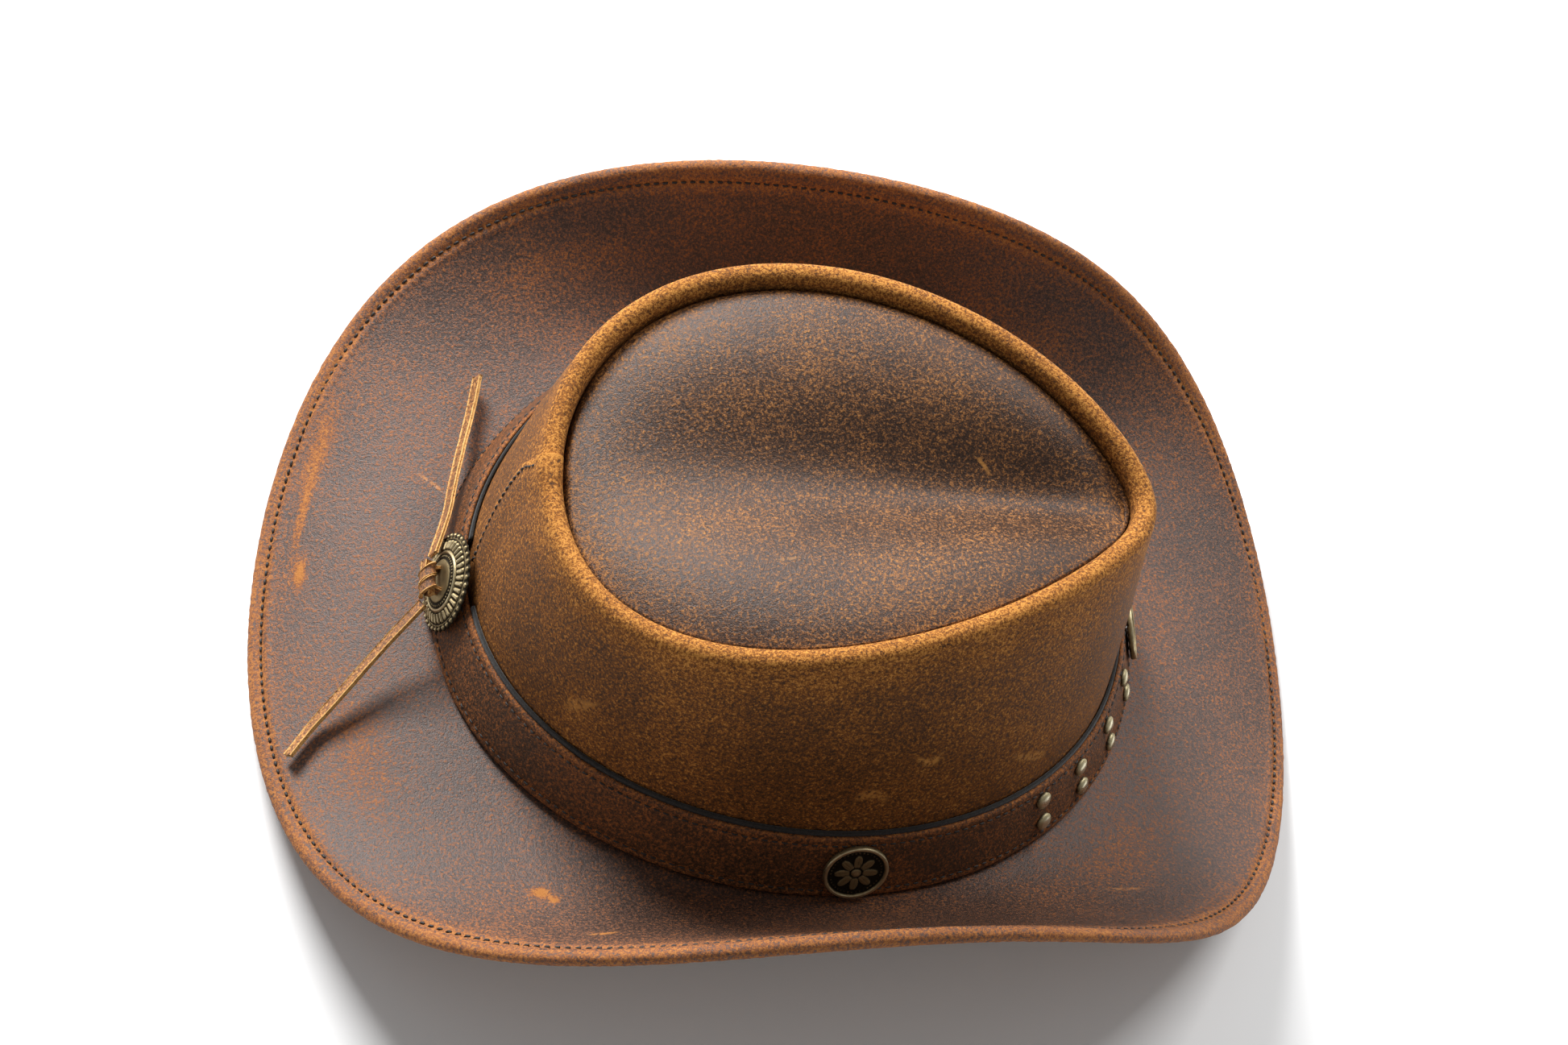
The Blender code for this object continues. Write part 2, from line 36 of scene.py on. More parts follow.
# The hat's driving dimensions, as in the CAD model
LEATHER = 1.4
GAP = 0.3
THIN_GAP = 0.25
BRIM_HALF_LENGTH = 164.2
BRIM_SHOULDER = 0.05
BRIM_SIDE_SHIFT = 5.0
BRIM_CORNER_SHIFT = 11.5
BRIM_HALF_WIDTH = 127.0
BRIM_SQUARENESS = 0.44
BRIM_BACK_FULLNESS = 0.16
BRIM_END_HEIGHT = 0.4
BRIM_SIDE_LIFT = 78.5
BRIM_FORWARD_LIFT = 14.0
BRIM_CURVE = 2.1
ROLL_RADIUS = 2.4
HEM_RETURN = 6.5
CENTRE_X = -1.9
BASE_HALF_LENGTH = 101.5
BASE_HALF_WIDTH = 88.6
BASE_HEIGHT = 24.7
BASE_SADDLE = 5.5
GIRTH_HALF_LENGTH = 99.2
GIRTH_HALF_WIDTH = 85.2
GIRTH_HEIGHT = 46.3
GIRTH_SADDLE = 6.7
GIRTH_SHARE = 0.27
SEAM_MIDDLE_X = 0.7
SEAM_HALF_LENGTH = 81.7
SEAM_SHOULDER = 0.17
SEAM_HALF_WIDTH = 56.8
SEAM_TAPER = 0.35
SEAM_POINT = 0.22
SEAM_END_HEIGHT = 100.1
SEAM_TILT = 4.8
SEAM_SIDE_RISE = 14.6
SEAM_FORWARD_RISE = 5.6
LIP_RADIUS = 3.35
SEAM_ALLOWANCE = 8.0
COLLAR_SHARE = 0.11
PANEL_X = 4.0
PANEL_HEIGHT = 106.0
PANEL_CROWN = 7.0
PANEL_SWELL = 5.0
DENT_DEPTH = 9.0
DENT_WIDTH = 20.0
DENT_PINCH = 0.45
SWEATBAND = 1.2
SWEATBAND_SHARE = 0.34
SWEATBAND_DROP = 1.0
BAND = 1.2
BACKING = 1.0
BACKING_PROUD = 1.2
BAND_FOOT_HALF_LENGTH = 110.0
BAND_FOOT_HALF_WIDTH = 97.2
BAND_FOOT_HEIGHT = 26.4
BAND_FOOT_SADDLE = 6.9
JOINT_DEG = 183.75
STUD_ANGLES_DEG = (12.5, 24.0, 35.5, 46.5)
STUD_ROWS = (0.26, 0.68)
SIDE_CONCHO_DEG = 82.5
BACK_DOWN = 0.31
BACK_STAND_OFF = 1.2
KNOT_HEIGHT = 6.7
LACE_WIDTH = 4.2
LACE_THICKNESS = 1.4
UPPER_TAIL = (
    (-112.2, 1.6, 36.4), (-108.8, 17.0, 33.5), (-107.3, 29.6, 31.0),
    (-105.3, 43.7, 28.5), (-103.1, 57.7, 26.8), (-101.5, 70.5, 27.7),
)
LOWER_TAIL = (
    (-114.2, -14.3, 35.2), (-124.2, -25.4, 29.0), (-136.1, -39.9, 22.0),
    (-142.7, -47.9, 18.2), (-149.1, -57.8, 16.8),
)

# Fine shape
DENT_EXTRA = 1.3  # how much deeper the soft top's dent is than the CAD panel's
AROUND = 1100  # sections round the large pieces
AROUND_PLAIN = 480  # sections round the pieces with less detail
STITCH_PITCH = 2.9
SWEATBAND_PITCH = 3.4
SEAM_IN = 4.9  # the hem's stitching, from the brim's outermost line
HEM_CLEARANCE = 0.02  # the brim's leather reaches no nearer to the floor
CROWN_RADIUS = 90.0  # near enough to turn an angle at the back seam into a distance
LAP_HEIGHT = 1.0
LAP_LENGTH = 16.0
LAP_STITCH_IN = 2.4
WALL_TOP = 0.985  # the share of the crown wall's height where its lip begins
BAND_WIDTH = 22.0  # near enough to place what runs along the hatband's edges
BAND_STITCH_IN = 2.4
BAND_END_DEG = 0.35  # how far the hatband's ends stop short of its joint
BACKING_END_DEG = 7.5  # and how far the backing's ends do
COIN_RADIUS = 9.6
COIN_BEADS = 40
PETALS = 8
BACK_RADIUS = 15.2
BACK_BEADS = 44
SCALLOPS = 36
SCALLOP_DEPTH = 0.033  # as a share of the concho's radius
STUD_RADIUS = 2.8
LACE_OUT = (-0.86, -0.06, 0.50)  # the way the flat of a lace tail faces
RAW_EDGE = 2.0  # how far a cut edge is rubbed, where 1 is an ordinary worn edge

UP = np.array((0.0, 0.0, 1.0))


# ---------------------------------------------------------------- lines round the hat

def unit(v):
    return v / np.linalg.norm(v, axis=-1, keepdims=True)


def points(x, y, z):
    return np.stack(np.broadcast_arrays(x, y, z), axis=-1).astype(float)


def smooth(low, high, x):
    u = np.clip((x - low) / (high - low), 0, 1)
    return u * u * (3 - 2 * u)


def brim_edge(t):
    c, s = np.cos(t), np.sin(t)
    fullness = 1 + BRIM_SQUARENESS * c * c - BRIM_BACK_FULLNESS * c * s * s
    shift = BRIM_SIDE_SHIFT - BRIM_CORNER_SHIFT * c * c
    return points(
        BRIM_HALF_LENGTH * c * (1 + BRIM_SHOULDER * s * s) + shift * s * s,
        BRIM_HALF_WIDTH * s * fullness,
        BRIM_END_HEIGHT + (BRIM_SIDE_LIFT + BRIM_FORWARD_LIFT * c) * s * s,
    )


def oval(t, half_length, half_width, height, saddle):
    return points(
        CENTRE_X + half_length * np.cos(t), half_width * np.sin(t), height - saddle * np.cos(2 * t)
    )


def crown_base(t):
    return oval(t, BASE_HALF_LENGTH, BASE_HALF_WIDTH, BASE_HEIGHT, BASE_SADDLE)


def girth(t):
    return oval(t, GIRTH_HALF_LENGTH, GIRTH_HALF_WIDTH, GIRTH_HEIGHT, GIRTH_SADDLE)


def band_foot(t):
    return oval(t, BAND_FOOT_HALF_LENGTH, BAND_FOOT_HALF_WIDTH, BAND_FOOT_HEIGHT, BAND_FOOT_SADDLE)


def top_seam(t):
    c, s = np.cos(t), np.sin(t)
    return points(
        SEAM_MIDDLE_X + SEAM_HALF_LENGTH * c * (1 + SEAM_SHOULDER * s * s),
        SEAM_HALF_WIDTH * s * (1 - SEAM_TAPER * c - SEAM_POINT * c * c),
        SEAM_END_HEIGHT + SEAM_TILT * c + (SEAM_SIDE_RISE + SEAM_FORWARD_RISE * c) * s * s,
    )


def outward(t):
    d = brim_edge(t) - crown_base(t)
    d[..., 2] = 0
    return unit(d)


def seam_outward(t):
    step = 1e-3
    along = top_seam(t + step) - top_seam(t - step)
    return unit(points(along[..., 1], -along[..., 0], 0 * along[..., 0]))


def wall(t, share):
    """The crown wall's outer surface, from the brim at share 0 to the lip at share 1."""
    head = top_seam(t) + seam_outward(t) * 2 * LIP_RADIUS
    g = GIRTH_SHARE
    share = np.asarray(share)[..., None]
    return (
        crown_base(t) * ((share - g) * (share - 1) / g)
        + girth(t) * (share * (share - 1) / (g * (g - 1)))
        + head * (share * (share - g) / (1 - g))
    )


def wall_outward(t, share):
    share = np.asarray(share)[..., None]
    return unit(outward(t) * (1 - share) + seam_outward(t) * share)


def band_point(t, down, depth=0.0):
    stand_off = GAP + BACKING + THIN_GAP + BAND
    head = girth(t) + outward(t) * stand_off
    down = np.asarray(down)[..., None]
    return head * (1 - down) + band_foot(t) * down - outward(t) * np.asarray(depth)[..., None]


def band_axes(t, down):
    """Down the band's slope, along it and out of it, at one point."""
    step = 1e-3
    along = unit(band_point(t + step, down) - band_point(t - step, down))
    slope = unit(band_point(t, 1.0) - band_point(t, 0.0))
    out = unit(np.cross(slope, along))
    if out @ outward(t) < 0:
        out, along = -out, -along
    return np.cross(along, out), along, out


def band_frame(t, down, lift=0.0):
    """A matrix in metres on the band's face: X down it, Y along it, Z out of it."""
    slope, along, out = band_axes(t, down)
    place = Matrix(np.array((slope, along, out)).T.tolist()).to_4x4()
    place.translation = Vector((band_point(t, down) + out * lift) * MM)
    return place


# ---------------------------------------------------------------- mesh helpers

def finish_piece(name, mesh, material, body, replaced):
    """Make a mesh a piece that rides on a body, stands for CAD nodes and takes a slot's finish."""
    obj = bpy.data.objects.new(name, mesh)
    bpy.context.scene.collection.objects.link(obj)
    mesh.materials.append(material)
    mesh.shade_smooth()
    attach(obj, body)
    if replaced:
        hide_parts(*replaced)
    return obj


def mesh_from(name, verts, faces, values=None):
    """A mesh with its faces turned out and one float attribute for each entry of values."""
    mesh = bpy.data.meshes.new(name)
    mesh.from_pydata((np.asarray(verts) * MM).tolist(), [], faces)
    for key, value in (values or {}).items():
        attribute = mesh.attributes.new(key, "FLOAT", "POINT")
        attribute.data.foreach_set("value", np.asarray(value, dtype=np.float32).ravel())
    bm = bmesh.new()
    bm.from_mesh(mesh)
    bmesh.ops.recalc_face_normals(bm, faces=bm.faces)
    bm.to_mesh(mesh)
    bm.free()
    return mesh


def grid_faces(rows, columns, closed_rows=True, start=0):
    """Quads between the points of a grid, whose rows are closed lines."""
    r = np.arange(rows if closed_rows else rows - 1)[:, None]
    c = np.arange(columns)[None, :]
    a = r * columns + c
    b = r * columns + (c + 1) % columns
    d = (r + 1) % rows * columns + c
    e = (r + 1) % rows * columns + (c + 1) % columns
    return (np.stack([a, b, e, d], axis=-1).reshape(-1, 4) + start).tolist()


def end_caps(rows, columns, start=0):
    """A face over the first row of a grid and one over its last."""
    last = start + (rows - 1) * columns
    return [[start + c for c in range(columns)], [last + c for c in range(columns)]]


def loft(name, grid, values=None, closed=True):
    """A solid from sections round the hat: grid[i, j] is point j of section i."""
    rows, columns = grid.shape[:2]
    faces = grid_faces(rows, columns, closed_rows=closed)
    if not closed:
        faces += end_caps(rows, columns)
    return mesh_from(name, grid.reshape(-1, 3), faces, values)


class Layers:
    """The lines that run round a closed leather piece, in order round its section.

    Each line says how worn it is, and whether it lies on the leather's flesh side.
    """

    def __init__(self, t):
        self.t = t
        self.lines = []
        self.worn = []
        self.flesh = []

    def add(self, line, wear=0.0, flesh=0):
        self.lines.append(line)
        self.worn.append(np.broadcast_to(wear, self.t.shape))
        self.flesh.append(np.full(self.t.shape, flesh))

    def grid(self):
        return np.stack(self.lines, axis=1)

    def wear(self):
        return np.stack(self.worn, axis=1)

    def show_flesh(self, mesh, material):
        """Give the faces between two flesh lines the flesh side's material."""
        mesh.materials.append(material)
        flesh = np.stack(self.flesh, axis=1)
        inner_face = (flesh & np.roll(flesh, -1, axis=1)).ravel()
        mesh.polygons.foreach_set("material_index", inner_face.astype(np.int32))


def turns(count=AROUND):
    return np.arange(count) * 2 * math.pi / count


def waves(p, size, seed):
    """Smooth waves from -1 to 1 over points in millimetres, about size across."""
    rng = np.random.default_rng(seed)
    total = np.zeros(p.shape[:-1])
    trains = 7
    for _ in range(trains):
        direction = unit(rng.normal(size=3))
        length = size * rng.uniform(0.7, 1.5)
        start = rng.uniform(0, 6.28)
        total += np.sin(p @ direction * 2 * math.pi / length + start)
    return total / trains


def length_along(p):
    steps = np.linalg.norm(np.diff(p, axis=0), axis=1)
    return np.concatenate([[0], np.cumsum(steps)])


def even_points(p, normals, pitch):
    """Points and normals spaced pitch apart on a fine polyline."""
    s = length_along(p)
    count = max(1, round(s[-1] / pitch))
    at = (np.arange(count) + 0.5) * s[-1] / count

    def pick(v):
        return np.stack([np.interp(at, s, v[:, k]) for k in range(3)], axis=1)

    return pick(p), unit(pick(normals))


def stitches(name, p, normals, pitch, radius, sunk, material):
    """A row of thread stitches lying on a surface, each one dipping in at its ends."""
    centres, ns = even_points(p, normals, pitch)
    tangents = unit(np.gradient(centres, axis=0))
    sides = unit(np.cross(ns, tangents))
    rings, corners = 7, 6
    u = np.linspace(-1, 1, rings)
    verts, faces = [], []
    filled = 0.72  # the share of the pitch that thread covers
    half = pitch * filled / 2
    for i, (c, n, t, b) in enumerate(zip(centres, ns, tangents, sides)):
        for v in u:
            r = radius * math.sqrt(max(0.12, 1 - v ** 4))
            lift = radius * 0.75 - sunk - radius * 1.5 * v ** 4
            for a in range(corners):
                w = 2 * math.pi * a / corners
                verts.append(c + t * v * half + n * (lift + r * math.sin(w)) + b * r * math.cos(w))
        start = i * rings * corners
        faces += grid_faces(rings, corners, closed_rows=False, start=start)
        faces += end_caps(rings, corners, start)
    finish_piece(name, mesh_from(name, np.array(verts), faces), material, "hat", None)


# ---------------------------------------------------------------- node materials

class Nodes:
    """Short calls for building one material's node tree."""

    def __init__(self, name):
        self.material = bpy.data.materials.new(name)
        self.material.use_nodes = True
        self.tree = self.material.node_tree
        self.shader = self.tree.nodes["Principled BSDF"]
        self.place = self.tree.nodes.new("ShaderNodeTexCoord").outputs["Object"]

    def link(self, source, socket):
        self.tree.links.new(source, socket)

    def feed(self, socket, value):
        if isinstance(value, bpy.types.NodeSocket):
            self.link(value, socket)
        else:
            socket.default_value = value

    def noise(self, size_mm, detail=3.0, roughness=0.6, stretch=None):
        node = self.tree.nodes.new("ShaderNodeTexNoise")
        node.inputs["Scale"].default_value = 1000 / size_mm
        node.inputs["Detail"].default_value = detail
        node.inputs["Roughness"].default_value = roughness
        place = self.place
        if stretch:
            mapping = self.tree.nodes.new("ShaderNodeMapping")
            mapping.inputs["Scale"].default_value = stretch
            self.link(place, mapping.inputs["Vector"])
            place = mapping.outputs["Vector"]
        self.link(place, node.inputs["Vector"])
        return node.outputs["Fac"]

    def value(self, name):
        node = self.tree.nodes.new("ShaderNodeAttribute")
        node.attribute_name = name
        return node.outputs["Fac"]

    def math(self, kind, a, b=0.0, clamp=False):
        node = self.tree.nodes.new("ShaderNodeMath")
        node.operation = kind
        node.use_clamp = clamp
        self.feed(node.inputs[0], a)
        self.feed(node.inputs[1], b)
        return node.outputs[0]

    def step(self, value, low, high, to_low=0.0, to_high=1.0):
        node = self.tree.nodes.new("ShaderNodeMapRange")
        node.interpolation_type = "SMOOTHSTEP"
        self.feed(node.inputs["Value"], value)
        node.inputs["From Min"].default_value = low
        node.inputs["From Max"].default_value = high
        node.inputs["To Min"].default_value = to_low
        node.inputs["To Max"].default_value = to_high
        return node.outputs["Result"]

    def mix(self, factor, a, b):
        node = self.tree.nodes.new("ShaderNodeMix")
        node.data_type = "RGBA"
        self.feed(node.inputs["Factor"], factor)
        for socket, colour in ((node.inputs["A"], a), (node.inputs["B"], b)):
            self.feed(socket, colour if isinstance(colour, bpy.types.NodeSocket) else (*colour, 1.0))
        return node.outputs["Result"]

    def bump(self, height, distance_mm, strength=1.0, under=None):
        node = self.tree.nodes.new("ShaderNodeBump")
        node.inputs["Distance"].default_value = distance_mm * MM
        node.inputs["Strength"].default_value = strength
        self.link(height, node.inputs["Height"])
        if under:
            self.link(under, node.inputs["Normal"])
        return node.outputs["Normal"]

    def done(self, colour, roughness, normal=None, **constants):
        self.feed(self.shader.inputs["Base Color"], colour)
        self.feed(self.shader.inputs["Roughness"], roughness)
        if normal:
            self.link(normal, self.shader.inputs["Normal"])
        for name, value in constants.items():
            self.shader.inputs[name.replace("_", " ")].default_value = value
        return self.material


# A leather's four tones, from its whole finish to where it is rubbed through
BRIM_TONES = ((0.040, 0.023, 0.017), (0.105, 0.056, 0.038), (0.27, 0.086, 0.022), (0.42, 0.165, 0.040))
CROWN_TONES = ((0.040, 0.018, 0.007), (0.12, 0.048, 0.014), (0.27, 0.095, 0.018), (0.56, 0.25, 0.055))
PANEL_TONES = ((0.022, 0.010, 0.005), (0.066, 0.028, 0.012), (0.24, 0.092, 0.020), (0.44, 0.20, 0.045))
BAND_TONES = ((0.034, 0.016, 0.008), (0.10, 0.043, 0.017), *BRIM_TONES[2:])
LACE_TONES = ((0.07, 0.03, 0.014), (0.22, 0.10, 0.045), (0.40, 0.16, 0.045), (0.72, 0.42, 0.15))


def pull_up_leather(name, rubbed, tones, gloss, shine):
    """Waxed leather whose dark finish is rubbed through to orange in fine specks.

    rubbed is how much of the finish is gone, from 0 to 1. The attribute worn adds to it where edges
    and folds are rubbed, and scratch_mm and scratch draw fine scratches.
    """
    dark, brown, rust, gold = tones
    n = Nodes(name)
    patches = n.noise(34, detail=4, roughness=0.6)
    clouds = n.noise(60, detail=2)
    grain = n.noise(0.9, detail=4, roughness=0.7)
    fine = n.noise(0.4, detail=2, roughness=0.6)
    worn = n.value("worn")
    loss = n.math("ADD", n.step(patches, 0.3, 0.7, -0.035, 0.035), rubbed - 0.5)
    loss = n.math("ADD", loss, n.math("MULTIPLY", worn, 0.15))
    level = n.math("ADD", grain, n.math("MULTIPLY", n.math("SUBTRACT", fine, 0.5), 0.5))
    level = n.math("ADD", level, loss)
    deep = n.mix(n.step(clouds, 0.3, 0.7), dark, tuple(1.35 * c for c in dark))
    colour = n.mix(n.step(level, 0.34, 0.52), deep, brown)
    colour = n.mix(n.step(level, 0.47, 0.61), colour, rust)
    colour = n.mix(n.step(level, 0.58, 0.74), colour, gold)
    near = n.step(n.math("ABSOLUTE", n.value("scratch_mm")), 0.75, 0.2)
    broken = n.step(n.noise(1.6, detail=3), 0.4, 0.52)
    scratch = n.math("MULTIPLY", n.math("MULTIPLY", near, n.value("scratch")), broken)
    colour = n.mix(scratch, colour, gold)
    matt = n.math("MULTIPLY", worn, 0.14)
    rough = n.math("ADD", n.step(level, 0.4, 0.66, gloss, gloss + 0.26), matt, clamp=True)
    creases = n.bump(n.noise(7, detail=3), 0.5, 0.2)
    normal = n.bump(level, 0.30, 0.8, creases)
    return n.done(colour, rough, normal, Specular_IOR_Level=shine)


def suede(name, light, dark, size_mm=0.9):
    """A leather's napped flesh side."""
    n = Nodes(name)
    nap = n.noise(size_mm, detail=5, roughness=0.75)
    cloud = n.noise(30, detail=3)
    colour = n.mix(n.step(nap, 0.35, 0.65), dark, light)
    colour = n.mix(n.step(cloud, 0.2, 0.9, 0, 0.5), colour, dark)
    return n.done(colour, 0.92, n.bump(nap, 0.3, 0.8), Sheen_Weight=0.25, Sheen_Roughness=0.5)


def thread_material(name, colour):
    n = Nodes(name)
    strands = n.noise(0.35, detail=2)
    shade = tuple(0.4 * c for c in colour)
    return n.done(n.mix(n.step(strands, 0.3, 0.7), shade, colour), 0.6, n.bump(strands, 0.1, 0.7))


def aged_metal(name, bright, dull, recess, roughness=0.3):
    """Antiqued metal: the attribute height is 0 in the recesses and 1 on what fingers polish."""
    n = Nodes(name)
    height = n.value("height")
    spots = n.noise(1.4, detail=4, roughness=0.7)
    cloud = n.noise(6, detail=3)
    polish = n.math("ADD", height, n.math("MULTIPLY", n.math("SUBTRACT", spots, 0.5), 0.7))
    tone = n.mix(n.step(polish, 0.12, 0.45), recess, dull)
    tone = n.mix(n.step(polish, 0.5, 0.95), tone, bright)
    polished = n.step(polish, 0.2, 0.9, roughness + 0.35, roughness)
    rough = n.math("ADD", polished, n.step(cloud, 0.3, 0.7, 0, 0.1))
    normal = n.bump(spots, 0.05, 0.4)
    return n.done(tone, rough, normal, Metallic=1.0)


def plain_metal(name, colour, roughness):
    n = Nodes(name)
    brushed = n.noise(0.6, detail=2, stretch=(1, 1, 8))
    tone = n.mix(n.step(brushed, 0.2, 0.8), tuple(0.8 * c for c in colour), colour)
    rough = n.step(brushed, 0.2, 0.8, roughness, roughness + 0.12)
    return n.done(tone, rough, n.bump(brushed, 0.02, 0.3), Metallic=1.0)


def make_materials():
    return {
        "brim": pull_up_leather("brim_leather", 0.46, BRIM_TONES, gloss=0.42, shine=0.45),
        "crown": pull_up_leather("crown_leather", 0.52, CROWN_TONES, gloss=0.58, shine=0.2),
        "panel": pull_up_leather("crown_top_leather", 0.47, PANEL_TONES, gloss=0.36, shine=0.34),
        "band": pull_up_leather("hatband_leather", 0.48, BAND_TONES, gloss=0.5, shine=0.3),
        "backing": suede("backing_black", (0.028, 0.025, 0.022), (0.009, 0.008, 0.007)),
        "sweatband": suede("sweatband_roan", (0.34, 0.20, 0.11), (0.22, 0.125, 0.068), 0.5),
        "flesh": suede("flesh_side", (0.32, 0.17, 0.08), (0.17, 0.082, 0.038)),
        "lace": pull_up_leather("lace_leather", 0.5, LACE_TONES, gloss=0.5, shine=0.3),
        "thread": thread_material("dark_thread", (0.03, 0.022, 0.018)),
        "brass": aged_metal(
            "antique_brass", bright=(0.62, 0.52, 0.32), dull=(0.30, 0.23, 0.12), recess=(0.03, 0.024, 0.016),
        ),
        "stud": aged_metal(
            "stud_brass", bright=(0.78, 0.72, 0.52), dull=(0.5, 0.43, 0.26), recess=(0.1, 0.08, 0.05),
            roughness=0.22,
        ),
        "steel": plain_metal("screw_steel", (0.6, 0.6, 0.6), 0.28),
    }


# ---------------------------------------------------------------- brim

def brim_profile(t):
    """The brim's top line in every section: its base height, its far end (r, z) and its slope there."""
    base, direction, edge = crown_base(t), outward(t), brim_edge(t)
    reach = ((edge - base) * direction).sum(axis=-1)
    low, high = base[..., 2] - GAP, edge[..., 2]
    end_r, end_z = reach, high
    for _ in range(4):
        slope = np.arctan2(BRIM_CURVE * (end_z - low), end_r)
        end_r = reach - ROLL_RADIUS * (np.cos(slope) + np.sin(slope))
        end_z = high + ROLL_RADIUS * (np.cos(slope) - np.sin(slope))
    return low, end_r, end_z, slope


def brim_top(profile, share):
    """Point (r, z) and normal of the brim's top surface at a share of its width."""
    low, end_r, end_z, _ = profile
    rise = end_z - low
    slope = np.arctan2(BRIM_CURVE * rise * share ** (BRIM_CURVE - 1), end_r)
    return (
        np.stack([share * end_r, low + rise * share ** BRIM_CURVE], axis=-1),
        np.stack([-np.sin(slope), np.cos(slope)], axis=-1),
    )


def to_hat(t, section):
    """Section coordinates (r, z) to points of the hat."""
    base, direction = crown_base(t), outward(t)
    flat = base * (1, 1, 0)
    return flat + direction * section[..., :1] + UP * section[..., 1:]


def brim_surface(t, share):
    """Point and upward normal on the brim's top surface."""
    profile = brim_profile(t)
    p, n = brim_top(profile, share)
    return to_hat(t, p), unit(outward(t) * n[..., :1] + UP * n[..., 1:])


def brim_scuffs(t, share):
    """Broad rubbed places: angle and share of their middles, half sizes in degrees and share, strength."""
    marks = (
        (163, 0.85, 5.0, 0.05, 1.2), (171, 0.83, 5.0, 0.02, 1.7), (178, 0.79, 1.6, 0.025, 2.6),
        (236.5, 0.55, 1.0, 0.03, 3.0), (238.5, 0.57, 0.7, 0.02, 3.0), (120, 0.7, 14.0, 0.12, 0.5),
        (60, 0.62, 12.0, 0.1, 0.4), (205, 0.6, 10.0, 0.15, 0.4), (320, 0.5, 12.0, 0.15, 0.4),
    )
    total = 0 * t
    for angle, middle, wide, deep, strength in marks:
        around = ((np.degrees(t) - angle) / wide) ** 2
        across = ((share - middle) / deep) ** 2
        total += strength * np.exp(-around - across)
    return total


def seam_place(profile):
    """The brim's width along its top, and the share of it where the hem's stitching runs."""
    low, end_r, end_z, _ = profile
    width = np.hypot(end_r, end_z - low)
    return width, 1 - (SEAM_IN - ROLL_RADIUS) / width


def brim_sway(t, section, share):
    """How far the leather waves out of its even curve."""
    return 0.5 * waves(to_hat(t, section), 60, 3) * share ** 2


def add_brim_face(layers, profile):
    """The upper face, pulled in along the stitching and puckered between the stitches."""
    t = layers.t
    width, seam_share = seam_place(profile)
    pucker = 0.6 + 0.4 * np.cos(length_along(brim_edge(t)) * 2 * math.pi / STITCH_PITCH)
    for share in np.concatenate([np.linspace(0.0, 0.88, 44), np.linspace(0.895, 0.992, 16)]):
        p, n = brim_top(profile, share)
        from_seam = (share - seam_share) * width
        groove = 0.7 * np.exp(-((from_seam / 0.8) ** 2)) * pucker
        groove = groove - 0.3 * np.exp(-(((from_seam + 2.0) / 1.1) ** 2)) * pucker
        lift = brim_sway(t, p, share) - groove
        wear = 0.9 * np.exp(-((from_seam / 1.6) ** 2)) + 0.3 * smooth(-9, 0, from_seam)
        layers.add(to_hat(t, p + n * lift[..., None]), wear + brim_scuffs(t, share))


def add_hem(layers, profile):
    """The leather rolled round the wire, and its raw edge under the brim."""
    t = layers.t
    width, _ = seam_place(profile)
    slope = profile[-1]
    top, n = brim_top(profile, 1.0)
    centre = top - n * ROLL_RADIUS

    def arc(radius, degrees):
        a = slope + math.radians(degrees)
        radius = np.broadcast_to(radius, t.shape)[..., None]
        return centre + np.stack([np.cos(a), np.sin(a)], axis=-1) * radius

    for degrees in np.linspace(90, -90, 19):
        p = to_hat(t, arc(ROLL_RADIUS, degrees))
        ragged = 0.16 * waves(p, 3.1, 5) + 0.08 * waves(p, 1.7, 9)
        layers.add(to_hat(t, arc(ROLL_RADIUS + ragged, degrees)), 1.0)
    hem, hem_n = brim_top(profile, 1 - HEM_RETURN / width)
    lower = hem - hem_n * (2 * LEATHER + THIN_GAP)
    upper = hem - hem_n * (LEATHER + THIN_GAP)
    last = arc(ROLL_RADIUS, -90)
    for share in (0.35, 0.7, 0.95):
        layers.add(to_hat(t, last + (lower - last) * share), 0.8)
    layers.add(to_hat(t, lower), 1.0)
    raw_edge = lower + (upper - lower) * 0.5 - np.array((0.25, 0.0))
    layers.add(to_hat(t, raw_edge), 1.0, 1)
    layers.add(to_hat(t, upper), 0.6, 1)
    for degrees in np.linspace(-90, 90, 8):
        layers.add(to_hat(t, arc(ROLL_RADIUS - LEATHER, degrees)), 0.3, 1)


def add_underside(layers, profile):
    t = layers.t
    for share in np.linspace(0.99, 0.0, 40):
        p, n = brim_top(profile, share)
        lift = brim_sway(t, p, share) - LEATHER
        layers.add(to_hat(t, p + n * lift[..., None]), 0.0, 1)


def build_brim(materials):
    t = turns()
    layers = Layers(t)
    profile = brim_profile(t)
    low = profile[0]
    inner_edge = -(LEATHER + GAP)
    layers.add(to_hat(t, np.stack([0 * low + inner_edge, low], axis=-1)))
    add_brim_face(layers, profile)
    add_hem(layers, profile)
    add_underside(layers, profile)
    layers.add(to_hat(t, np.stack([0 * low + inner_edge - LEATHER, low - LEATHER], axis=-1)), 0.0, 1)
    collar = wall(t, 0 * t + COLLAR_SHARE)
    layers.add(collar + outward(t) * (inner_edge - LEATHER), 0.0, 1)
    layers.add(collar + outward(t) * inner_edge)
    grid = layers.grid()
    grid[..., 2] = np.maximum(grid[..., 2], HEM_CLEARANCE)
    mesh = loft("brim_leather", grid, {"worn": layers.wear(), **brim_scratches(grid)})
    finish_piece("brim_leather", mesh, materials["brim"], "hat", ["brim"])
    layers.show_flesh(mesh, materials["flesh"])
    _, seam_share = seam_place(profile)
    p, normals = brim_surface(np.append(t, t[0]), np.append(seam_share, seam_share[0]))
    stitches("brim_stitching", p, normals, STITCH_PITCH, 0.42, 0.45, materials["thread"])


